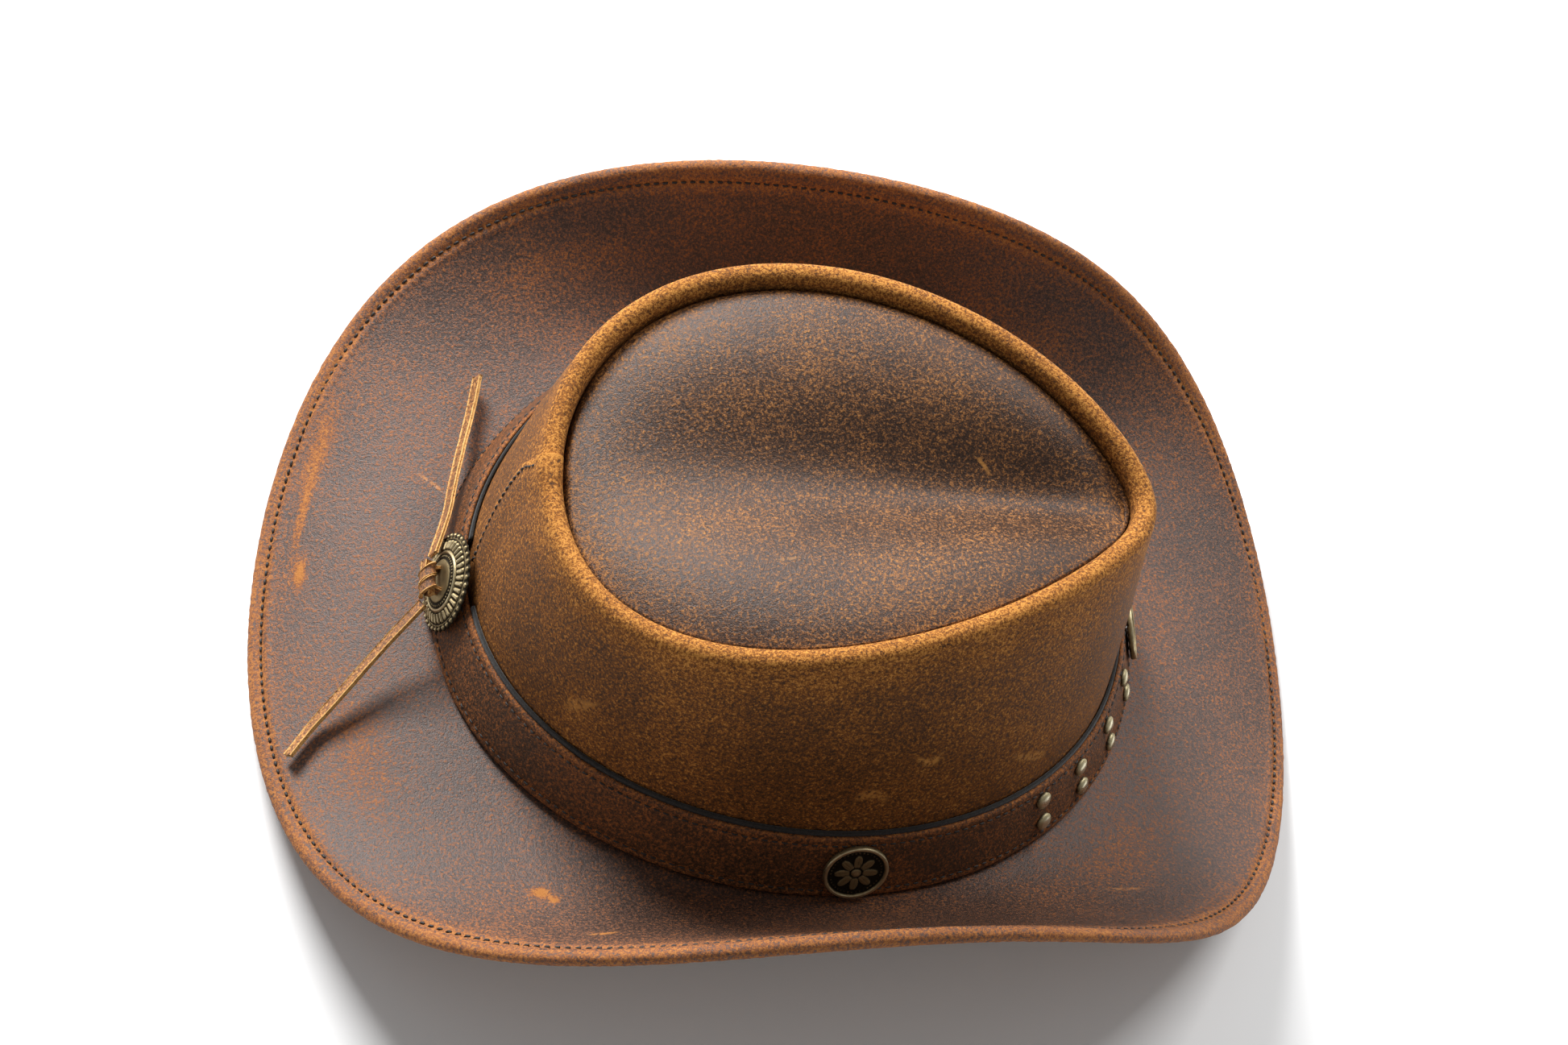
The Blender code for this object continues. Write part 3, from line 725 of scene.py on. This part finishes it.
def scratch_values(grid, marks):
    """Signed distance to the nearest scratch, and how strong that one is there.

    A mark is its middle, its direction, its length, its strength and how much it bends.
    """
    signed = np.full(grid.shape[:-1], 9.0)
    strength = np.zeros(grid.shape[:-1])
    best = np.full(grid.shape[:-1], 1e9)
    for middle, direction, length, weight, bend in marks:
        middle, direction = np.array(middle, float), unit(np.array(direction, float))
        side = unit(np.cross(direction, UP))
        rel = grid - middle
        along = rel @ direction
        across = rel @ side + bend * along ** 2
        height = rel @ UP
        over = np.maximum(np.abs(along) - length / 2, 0)
        far = np.sqrt(across ** 2 + over ** 2) + 0.3 * np.maximum(np.abs(height) - 25, 0)
        mine = far < best
        best = np.where(mine, far, best)
        signed = np.where(mine, across, signed)
        fade = weight * smooth(length * 0.5 + 1, length * 0.5 - 3, np.abs(along))
        strength = np.where(mine, fade, strength)
    return {"scratch_mm": signed, "scratch": strength}


def brim_scratches(grid):
    marks = (
        ((-113, 35.5, 20), (1, -0.75, 0), 11, 1.0, 0.0),
        ((-60, -118, 50), (1, 0.2, 0), 9, 1.0, 0.02),
        ((70, 92, 45), (0.3, 1, 0), 16, 0.6, 0.01),
        ((96, -88, 40), (1, 0.1, 0), 12, 0.8, 0.0),
    )
    return scratch_values(grid, marks)


# ---------------------------------------------------------------- crown

def lap_edge(share):
    """Angle of the crown side's lapped edge at the back, with its corner rounded under the lip."""
    lean = 6.5 * smooth(0.25, 0.85, share) - 2.5 * smooth(0.88, 1.0, share)
    return np.radians(181.5 - lean)


def lap_lift(t, share):
    """How far the crown's near end stands over its far end."""
    radius = 95.0 - 12.0 * np.clip(share, 0, 1)
    along = (t - lap_edge(share)) * radius
    return LAP_HEIGHT * smooth(-0.25, 0.25, along) * smooth(LAP_LENGTH, 4.0, along)


def crown_angles():
    """Even sections, with more of them near the lapped seam."""
    even = turns(720)
    extra = math.radians(180) + np.radians(np.arange(-7.0, 9.0, 0.12))
    return np.unique(np.round(np.concatenate([even, extra]), 6))


def lap_wear(t, share):
    """How rubbed the leather is along its lapped edge."""
    from_edge = (t - lap_edge(share)) * CROWN_RADIUS
    return 0.7 * np.exp(-(((from_edge - 0.6) / 1.3) ** 2))


def lip(t, radius, degrees):
    """A line on the lip's roll, from the crown's outside at 0 degrees to its groove at 180."""
    a = math.radians(degrees)
    radius = np.broadcast_to(radius, t.shape)[..., None]
    out = seam_outward(t) * (LIP_RADIUS + radius * math.cos(a))
    return top_seam(t) + out + UP * (radius * math.sin(a))


def add_crown_wall(layers):
    t = layers.t
    for share in np.linspace(0, WALL_TOP, 64):
        p = wall(t, 0 * t + share)
        out = wall_outward(t, 0 * t + share)
        free = smooth(GIRTH_SHARE + 0.03, GIRTH_SHARE + 0.14, share)
        lift = lap_lift(t, share) * free + 0.45 * waves(p, 48, 11) * free
        layers.add(p + out * lift[..., None], lap_wear(t, share) + 0.45 * smooth(0.84, 1.0, share))


def add_lip(layers):
    """The roll at the top, the seam allowance that hangs in the groove, and the roll's inside."""
    t = layers.t
    for degrees in np.linspace(0, 180, 21):
        over = math.sin(math.radians(degrees))
        share = 1.0 + 0.04 * degrees / 90
        lift = lap_lift(t, share) * (1 - smooth(120, 180, degrees))
        ragged = 0.10 * waves(lip(t, LIP_RADIUS, degrees), 2.9, 13) * over
        wear = lap_wear(t, share) + 0.5 + 0.25 * over
        layers.add(lip(t, LIP_RADIUS + lift + ragged, degrees), wear)
    seam = top_seam(t)
    for drop in (0.35, 0.7, 1.0):
        layers.add(seam - UP * SEAM_ALLOWANCE * drop)
    layers.add(seam + seam_outward(t) * LEATHER - UP * SEAM_ALLOWANCE, 0.5, 1)
    for degrees in np.linspace(180, 0, 9):
        layers.add(lip(t, LIP_RADIUS - LEATHER, degrees), 0.0, 1)


def build_crown_side(materials):
    t = crown_angles()
    layers = Layers(t)
    add_crown_wall(layers)
    add_lip(layers)
    for share in np.linspace(WALL_TOP, 0, 40):
        layers.add(wall(t, 0 * t + share) - wall_outward(t, 0 * t + share) * LEATHER, 0.0, 1)
    grid = layers.grid()
    mesh = loft("crown_side_leather", grid, {"worn": layers.wear(), **crown_scratches(grid)})
    finish_piece("crown_side_leather", mesh, materials["crown"], "hat", ["crown_side"])
    layers.show_flesh(mesh, materials["flesh"])
    build_lap_stitches(materials)


def build_lap_stitches(materials):
    share = np.linspace(GIRTH_SHARE + 0.06, 1.0, 160)
    t = lap_edge(share) + LAP_STITCH_IN / CROWN_RADIUS
    out = wall_outward(t, share)
    p = wall(t, share) + out * LAP_HEIGHT
    stitches("crown_seam_stitching", p, out, STITCH_PITCH, 0.36, 0.2, materials["thread"])


def crown_scratches(grid):
    marks = (
        ((26, -73.5, 79), (1, 0.3, 0), 9, 1.0, 0.05),
        ((12, -80, 66), (1, 0.1, 0), 10, 0.8, -0.02),
        ((60, -62, 84), (1, 0.5, 0), 14, 0.7, 0.01),
        ((-70, -58, 80), (1, -0.6, 0), 10, 0.5, 0.0),
    )
    return scratch_values(grid, marks)


def panel_point(t, share):
    seam = top_seam(t) - seam_outward(t) * GAP
    x = PANEL_X + (seam[..., 0] - PANEL_X) * share
    y = seam[..., 1] * share
    along = (x - PANEL_X) / SEAM_HALF_LENGTH
    width = DENT_WIDTH * (1 - DENT_PINCH * along)
    dent = DENT_DEPTH * np.exp(-((y / width) ** 2)) * np.maximum(0.0, 1 - along ** 2) ** 0.7
    swell = PANEL_CROWN * (1 - share ** PANEL_SWELL)
    z = PANEL_HEIGHT + (seam[..., 2] - PANEL_HEIGHT) * share ** 2 + swell - dent
    return points(x, y, z - LIP_RADIUS * 0.5)


def soft_panel(t, share):
    """The CAD panel's surface with a deeper dent and a soft sheet's unevenness."""
    p = panel_point(t, share)
    dent = np.exp(-((p[..., 1] / DENT_WIDTH) ** 2)) * smooth(0.95, 0.55, share)
    p[..., 2] += 0.3 * waves(p, 40, 21) * (1 - share ** 6) - DENT_EXTRA * dent
    return p


def panel_scratches(grid):
    marks = (
        ((38, 9, 106), (1, -0.9, 0), 7, 0.9, -0.03),
        ((-20, -30, 112), (1, 0.2, 0), 8, 0.4, 0.0),
    )
    return scratch_values(grid, marks)


def add_panel_flange(t, rings, worn):
    """The panel's rim turned down into the groove, closing all but a sliver of the gap there."""
    closed = 0.03 - GAP
    foot = -SEAM_ALLOWANCE
    for inset, height in ((0.25, -2.6), (closed, -4.2), (closed, foot), (LEATHER, foot), (LEATHER, -5.2)):
        rings.append(top_seam(t) - seam_outward(t) * (GAP + inset) + UP * height)
        worn.append(0 * t)


def build_crown_top(materials):
    t = turns(AROUND_PLAIN)
    rings, worn = [], []
    shares = np.concatenate([np.linspace(0.02, 0.86, 44), np.linspace(0.875, 0.985, 14)])
    for share in shares:
        rings.append(soft_panel(t, share))
        worn.append(0 * t + 0.3 * smooth(0.9, 0.985, share))
    add_panel_flange(t, rings, worn)
    outer = len(rings) - 2
    for share in shares[::-2]:
        if share < 0.95:
            rings.append(soft_panel(t, share) - UP * LEATHER)
            worn.append(0 * t)
    grid = np.stack(rings, axis=0)
    values = {"worn": np.stack(worn, axis=0), **panel_scratches(grid)}
    mesh = loft("crown_top_leather", grid, values, closed=False)
    finish_piece("crown_top_leather", mesh, materials["panel"], "hat", ["crown_top"])
    mesh.materials.append(materials["flesh"])
    rows, columns = grid.shape[:2]
    index = np.zeros(len(mesh.polygons), dtype=np.int32)
    index[(outer + 1) * columns:(rows - 1) * columns] = 1
    index[-1] = 1
    mesh.polygons.foreach_set("material_index", index)


def build_sweatband(materials):
    t = turns(AROUND_PLAIN)
    inner = 2 * (LEATHER + GAP)
    shares = np.linspace(0, SWEATBAND_SHARE, 14)

    def line(share, depth):
        drop = SWEATBAND_DROP * (1 - smooth(0, 0.1, share))
        swell = 0.25 * waves(wall(t, 0 * t + share), 30, 31)
        sunk = (depth + swell * (depth > inner))[..., None]
        return wall(t, 0 * t + share) - outward(t) * sunk - UP * drop

    columns = [line(share, inner + 0 * t) for share in shares]
    columns += [line(share, inner + SWEATBAND + 0 * t) for share in shares[::-1]]
    mesh = loft("sweatband_leather", np.stack(columns, axis=1))
    finish_piece("sweatband_leather", mesh, materials["sweatband"], "hat", ["sweatband"])
    around = np.append(t, t[0])
    p = wall(around, 0 * around + 0.03) - outward(around) * (inner + SWEATBAND + 0.05)
    stitches("sweatband_stitching", p, -outward(around), SWEATBAND_PITCH, 0.32, 0.1, materials["thread"])


# ---------------------------------------------------------------- hatband

def band_relief(t, down):
    """How deep a line on the band's face lies, and how worn it is."""
    from_edge = min(down, 1 - down) * BAND_WIDTH
    from_seam = from_edge - BAND_STITCH_IN
    p = band_point(t, 0 * t + down)
    groove = 0.28 * math.exp(-((from_seam / 0.6) ** 2))
    round_off = 0.35 * math.exp(-from_edge / 0.5)
    ragged = 0.12 * waves(p, 2.7, 41) * math.exp(-from_edge / 1.2)
    depth = groove + round_off + ragged + 0.12 * waves(p, 35, 43)
    wear = 0.9 * math.exp(-from_edge / 0.9) * (1.0 if down > 0.5 else 0.6)
    return depth, 0 * t + wear + 0.5 * math.exp(-((from_seam / 0.7) ** 2))


def build_hatband(materials):
    ends = np.radians((BAND_END_DEG, 360 - BAND_END_DEG))
    t = math.radians(JOINT_DEG) + np.linspace(*ends, AROUND)
    columns, worn = [], []
    middle = np.linspace(0.17, 0.83, 14)
    for down in np.concatenate([np.linspace(0, 0.14, 9), middle, np.linspace(0.86, 1, 9)]):
        depth, wear = band_relief(t, down)
        columns.append(band_point(t, 0 * t + down, depth))
        worn.append(wear)
    for down in (1.0, 0.8, 0.5, 0.2, 0.0):
        columns.append(band_point(t, 0 * t + down, 0 * t + BAND))
        worn.append(0 * t + 0.6)
    grid = np.stack(columns, axis=1)
    scratches = scratch_values(grid, (((-60, -90, 36), (1, 0.5, 0), 8, 0.6, 0.0),))
    mesh = loft("hatband_leather", grid, {"worn": np.stack(worn, axis=1), **scratches}, closed=False)
    finish_piece("hatband_leather", mesh, materials["band"], "hat", ["hatband"])
    seam = BAND_STITCH_IN / BAND_WIDTH
    normals = outward(t) * 0.9 + UP * 0.4
    for row, down in (("upper", seam), ("lower", 1 - seam)):
        p = band_point(t, 0 * t + down)
        stitches(f"hatband_stitching_{row}", p, normals, STITCH_PITCH, 0.3, 0.28, materials["thread"])


def build_backing(materials):
    opening = math.radians(BACKING_END_DEG)
    t = math.radians(JOINT_DEG) + np.linspace(opening, 2 * math.pi - opening, AROUND_PLAIN)
    depth = 0 * t + BAND + THIN_GAP
    rise = unit(girth(t) - crown_base(t)) * BACKING_PROUD
    rounding = 0.25
    top = band_point(t, 0 * t, depth) + rise
    outer = [top - outward(t) * rounding, top - rise * rounding, band_point(t, 0 * t, depth)]
    outer += [band_point(t, 0 * t + down, depth) for down in (0.3, 0.6, 0.97)]
    inner = [p - outward(t) * BACKING for p in reversed(outer[1:])]
    ragged = 0.1 * waves(top, 2.2, 51)
    outer[0] = outer[0] + UP * ragged[..., None]
    grid = np.stack([*outer, *inner, top - outward(t) * (BACKING - rounding)], axis=1)
    name = "hatband_backing_leather"
    mesh = loft(name, grid, closed=False)
    finish_piece(name, mesh, materials["backing"], "hat", ["hatband_backing"])


# ---------------------------------------------------------------- metal

def relief(name, radius, height, back, rings=48, around=144, edge=None):
    """A round piece with a height field in front, a plain or hollow back, and the attribute height."""
    a = turns(around)
    scale = 1 if edge is None else edge(a)
    rows, tones = [], []
    for r in np.linspace(0.02, 1, rings) * radius:
        stretch = 1 + (scale - 1) * smooth(0.8 * radius, radius, r)
        z, tone = height(r, a)
        rows.append(points(r * stretch * np.cos(a), r * stretch * np.sin(a), z))
        tones.append(0 * a + tone)
    for r, z in ((1.0, 0.25), (0.97, 0.0), (0.5, back), (0.05, back)):
        stretch = 1 + (scale - 1) * (r > 0.9)
        rows.append(points(r * radius * stretch * np.cos(a), r * radius * stretch * np.sin(a), z + 0 * a))
        tones.append(0 * a + 0.2)
    return loft(name, np.stack(rows), {"height": np.stack(tones)}, closed=False)


def coin_height(r, a):
    """A raised rim, a ring of beads, and an eight-petalled rosette round a boss."""
    rim = smooth(8.2, 8.7, r) * (1 - 0.25 * smooth(9.3, 9.6, r))
    beads = np.exp(-(((r - 7.5) / 0.34) ** 2)) * (0.5 + 0.5 * np.cos(COIN_BEADS * a))
    spread = np.abs(np.cos(PETALS / 2 * a))
    reach = 2.2 + 4.4 * spread ** 0.7
    petal = smooth(reach + 0.3, reach - 0.5, r) * smooth(1.6, 2.4, r) * (0.65 + 0.35 * spread)
    vein = np.exp(-((np.sin(PETALS / 2 * a) * r / 0.5) ** 2)) * petal * 0.35
    boss = smooth(1.7, 1.2, r) * np.sqrt(np.maximum(0.0, 1 - (r / 2.1) ** 2))
    relief_height = 0.62 * petal - 0.4 * vein + 0.9 * boss + 0.45 * beads
    z = 1.05 + 0.75 * rim + relief_height * 0.7
    return z - 0.25 * smooth(9.4, 9.6, r), np.clip(0.9 * rim + 0.8 * relief_height, 0, 1)


def concho_height(r, a):
    """From the edge in: a beaded scallop, a groove, radial flutes, a ring, small beads and a dome."""
    dome = 3.0 - 2.1 * smooth(5.0, 15.0, r)
    lobe = 0.5 + 0.5 * np.cos(SCALLOPS * a)
    bead = np.exp(-(((r - 14.3) / 0.5) ** 2)) * lobe
    flute = smooth(9.6, 10.1, r) * smooth(12.9, 12.3, r) * lobe ** 0.7
    ring = np.exp(-(((r - 8.9) / 0.45) ** 2))
    outer_ring = np.exp(-(((r - 13.3) / 0.3) ** 2))
    small = np.exp(-(((r - 7.6) / 0.3) ** 2)) * (0.5 + 0.5 * np.cos(BACK_BEADS * a))
    cap = smooth(6.9, 6.2, r)
    detail = 0.65 * bead + 0.7 * flute + 0.55 * ring + 0.3 * outer_ring + 0.35 * small + 0.3 * cap
    tone = 0.9 * bead + 0.85 * flute + 0.95 * ring + 0.4 * outer_ring + 0.6 * small + 0.5 * cap
    return dome - 0.25 + detail - 0.35 * smooth(14.7, 15.2, r), np.clip(tone, 0, 1)


def scalloped(a):
    return 1 - SCALLOP_DEPTH * (0.5 - 0.5 * np.cos(SCALLOPS * a))


def build_conchos(materials):
    coin = relief("coin", COIN_RADIUS, coin_height, 0.0)
    for place, degrees in (("front", 0), ("left", SIDE_CONCHO_DEG), ("right", -SIDE_CONCHO_DEG)):
        body = f"{place}_concho"
        mesh = coin.copy()
        mesh.transform(band_frame(math.radians(degrees), 0.5, 2 * GAP))
        finish_piece(f"{place}_coin_concho", mesh, materials["brass"], body, [body])
    back = relief("back", BACK_RADIUS, concho_height, 1.4, rings=72, around=432, edge=scalloped)
    back.transform(band_frame(math.radians(JOINT_DEG), BACK_DOWN, BACK_STAND_OFF))
    finish_piece("back_concho_brass", back, materials["brass"], "hat", ["back_concho"])


def stud_height(r, a):
    dome = GAP + 1.5 * np.sqrt(np.maximum(0.0, 1 - (r / 2.95) ** 2)) + 0 * a
    return dome, 0.35 + 0.6 * smooth(STUD_RADIUS, 1.2, r)


def build_studs(materials):
    stud = relief("stud", STUD_RADIUS, stud_height, 0.1, rings=14, around=36)
    for side, sign in (("left", 1), ("right", -1)):
        for pair, degrees in enumerate(STUD_ANGLES_DEG, 1):
            for row, down in zip(("upper", "lower"), STUD_ROWS):
                node = f"stud_{side}_{pair}_{row}"
                mesh = stud.copy()
                mesh.transform(band_frame(sign * math.radians(degrees), down))
                finish_piece(f"{node}_dome", mesh, materials["stud"], "hat", [node])


# ---------------------------------------------------------------- lace

def smooth_route(route, step):
    """Points about step apart on a Catmull-Rom curve through a given route."""
    knots = [np.array(p, float) for p in route]
    knots = [2 * knots[0] - knots[1], *knots, 2 * knots[-1] - knots[-2]]
    found = []
    for a, b, c, d in zip(knots, knots[1:], knots[2:], knots[3:]):
        steps = max(1, round(np.linalg.norm(c - b) / step))
        for i in range(steps):
            u = i / steps
            found.append(0.5 * (
                2 * b + (c - a) * u + (2 * a - 5 * b + 4 * c - d) * u ** 2 + (3 * b - 3 * c + d - a) * u ** 3
            ))
    return np.array(found + [knots[-2]])


def strap(path, faces_out, width, thickness, seed):
    """A strip of leather along a path, flat side towards faces_out, with raw cut edges."""
    along = unit(np.gradient(path, axis=0))
    side = unit(np.cross(faces_out, along))
    out = unit(np.cross(along, side))
    corner = 0.32
    outline = []
    for sx, sy in ((1, 1), (-1, 1), (-1, -1), (1, -1)):
        for dx, dy in (((0, corner), (corner, 0)) if sx * sy < 0 else ((corner, 0), (0, corner))):
            outline.append((sx * (width / 2 - dx), sy * (thickness / 2 - dy)))
    wide = []
    for (x0, y0), (x1, y1) in zip(outline, outline[1:] + outline[:1]):
        steps = 5 if abs(x1 - x0) > 1 else 2
        wide += [(x0 + (x1 - x0) * i / steps, y0 + (y1 - y0) * i / steps) for i in range(steps)]
    rows, raw = [], []
    for x, y in wide:
        p = path + side * x + out * y
        edge = smooth(width / 2 - 0.7, width / 2 - 0.1, abs(x))
        ragged = np.sign(x) * (0.14 * waves(p, 2.4, seed)) * edge
        rippled = 0.06 * waves(p, 5, seed + 1)
        rows.append(p + side * ragged[:, None] + out * rippled[:, None])
        raw.append(edge + 0 * path[:, 0])
    return np.stack(rows, axis=1), np.stack(raw, axis=1)


def lace_values(raw):
    """A lace is rubbed along its cut edges and has no scratches."""
    return {"worn": RAW_EDGE * raw, "scratch": 0 * raw, "scratch_mm": 9 + 0 * raw}


def build_tail(name, route, materials, seed):
    path = smooth_route(route, 1.0)
    grid, raw = strap(path, np.array(LACE_OUT), LACE_WIDTH, LACE_THICKNESS, seed)
    mesh = loft(name + "_strip", grid, lace_values(raw), closed=False)
    obj = finish_piece(name + "_strip", mesh, materials["lace"], "hat", [name])
    float(length_along(path)[-1]) * MM


def knot_straps():
    """Two wraps round the lace's own ends, those ends, and the legs that sink into the back concho."""
    u = np.linspace(0, 1, 150)
    a = 2 * math.pi * (1.9 * u + 0.1)
    radius_x, radius_z = 2.5, 2.0
    across = 3.9 * (1 - 2 * u) + 0.9 * np.sin(a)
    wrap = points(radius_x * np.cos(a), across, KNOT_HEIGHT + radius_z * np.sin(a))
    outs = points(np.cos(a) / radius_x, 0 * a, np.sin(a) / radius_z)
    yield strap(wrap, unit(outs), 3.6, 1.3, 71)
    core = points(0.5 * np.sin(6 * u), 11.6 * (u - 0.5), KNOT_HEIGHT + 0.3 * np.sin(5 * u))
    yield strap(core, UP, 3.4, 2.2, 73)
    for side in (1, -1):
        leg = points(0.0 * u, side * (4.0 - 1.2 * u ** 3), -3.2 + (KNOT_HEIGHT + 2.6) * u)
        yield strap(leg, np.array((0.0, side, 0.0)), 3.8, 1.2, 75 + side)


def build_knot(materials):
    verts, faces, raws = [], [], []
    for grid, raw in knot_straps():
        start = sum(len(v) for v in verts)
        rows, columns = grid.shape[:2]
        faces += grid_faces(rows, columns, closed_rows=False, start=start)
        faces += end_caps(rows, columns, start)
        verts.append(grid.reshape(-1, 3))
        raws.append(raw.ravel())
    mesh = mesh_from("lace_knot_wraps", np.concatenate(verts), faces, lace_values(np.concatenate(raws)))
    mesh.transform(band_frame(math.radians(JOINT_DEG), BACK_DOWN, BACK_STAND_OFF))
    finish_piece("lace_knot_wraps", mesh, materials["lace"], "hat", ["lace_knot"])


# ---------------------------------------------------------------- stage

VIEW_AZIMUTH = -19.6
VIEW_ELEVATION = 58.8
VIEW_ROLL = 22.1
VIEW_DISTANCE = 0.779
VIEW_TARGET = (-0.0143, 0.0, 0.0771)
VIEW_LENS = 61.8
FLOOR_HALF = 6.0
WORLD_LIGHT = 0.30


def build_camera():
    a, e, r = (math.radians(v) for v in (VIEW_AZIMUTH, VIEW_ELEVATION, VIEW_ROLL))
    back = Vector((math.sin(a) * math.cos(e), -math.cos(a) * math.cos(e), math.sin(e)))
    level = Vector((math.cos(a), math.sin(a), 0))
    above = back.cross(level)
    right = level * math.cos(r) + above * math.sin(r)
    camera = bpy.data.objects.new("camera", bpy.data.cameras.new("camera"))
    bpy.context.scene.collection.objects.link(camera)
    camera.data.lens = VIEW_LENS
    camera.data.sensor_width = 36.0
    camera.data.clip_start = 0.01
    camera.matrix_world = Matrix((right, back.cross(right), back)).transposed().to_4x4()
    camera.location = Vector(VIEW_TARGET) + back * VIEW_DISTANCE
    bpy.context.scene.camera = camera


def add_softbox(name, place, size, power, target=(0, 0, 0.05)):
    light = bpy.data.lights.new(name, "AREA")
    light.shape = "RECTANGLE"
    light.size, light.size_y = size
    light.energy = power
    obj = bpy.data.objects.new(name, light)
    bpy.context.scene.collection.objects.link(obj)
    obj.location = place
    obj.rotation_euler = (Vector(target) - Vector(place)).to_track_quat("-Z", "Y").to_euler()


def build_floor():
    n = Nodes("pale_floor")
    material = n.done(n.mix(n.noise(400), (0.93, 0.93, 0.93), (0.95, 0.95, 0.95)), 0.9)
    mesh = bpy.data.meshes.new("floor")
    corners = [(x * FLOOR_HALF, y * FLOOR_HALF, 0) for x, y in ((-1, -1), (1, -1), (1, 1), (-1, 1))]
    mesh.from_pydata(corners, [], [(0, 1, 2, 3)])
    mesh.materials.append(material)
    floor = bpy.data.objects.new("floor", mesh)
    bpy.context.scene.collection.objects.link(floor)


def build_lights():
    world = bpy.data.worlds.new("studio")
    bpy.context.scene.world = world
    world.use_nodes = True
    background = world.node_tree.nodes["Background"]
    background.inputs["Color"].default_value = (1, 1, 1, 1)
    background.inputs["Strength"].default_value = WORLD_LIGHT
    add_softbox("key", (-0.62, 1.22, 0.95), (0.6, 0.6), 50)
    add_softbox("sheen", (0.75, 0.75, 1.00), (0.6, 0.6), 13)
    bpy.context.scene.view_settings.view_transform = "Standard"


def dress_frame(materials):
    """CAD pieces that keep their own shape: the wire in the hem and the screws behind the coins."""
    for name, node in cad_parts.items():
        if name.endswith("_screw") or name == "brim_wire":
            node.data.materials.clear()
            node.data.materials.append(materials["steel"])


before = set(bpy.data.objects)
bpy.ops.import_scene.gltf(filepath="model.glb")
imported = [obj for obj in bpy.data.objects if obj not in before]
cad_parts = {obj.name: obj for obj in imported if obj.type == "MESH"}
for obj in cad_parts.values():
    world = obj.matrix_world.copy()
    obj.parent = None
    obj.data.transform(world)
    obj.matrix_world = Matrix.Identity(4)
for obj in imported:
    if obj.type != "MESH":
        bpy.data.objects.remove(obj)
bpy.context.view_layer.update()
build_camera()
finishes = make_materials()
build_tail("lace_tail_upper", UPPER_TAIL, finishes, 61)
build_tail("lace_tail_lower", LOWER_TAIL, finishes, 63)
build_brim(finishes)
build_crown_side(finishes)
build_crown_top(finishes)
build_sweatband(finishes)
build_hatband(finishes)
build_backing(finishes)
build_conchos(finishes)
build_studs(finishes)
build_knot(finishes)
dress_frame(finishes)
build_floor()
build_lights()
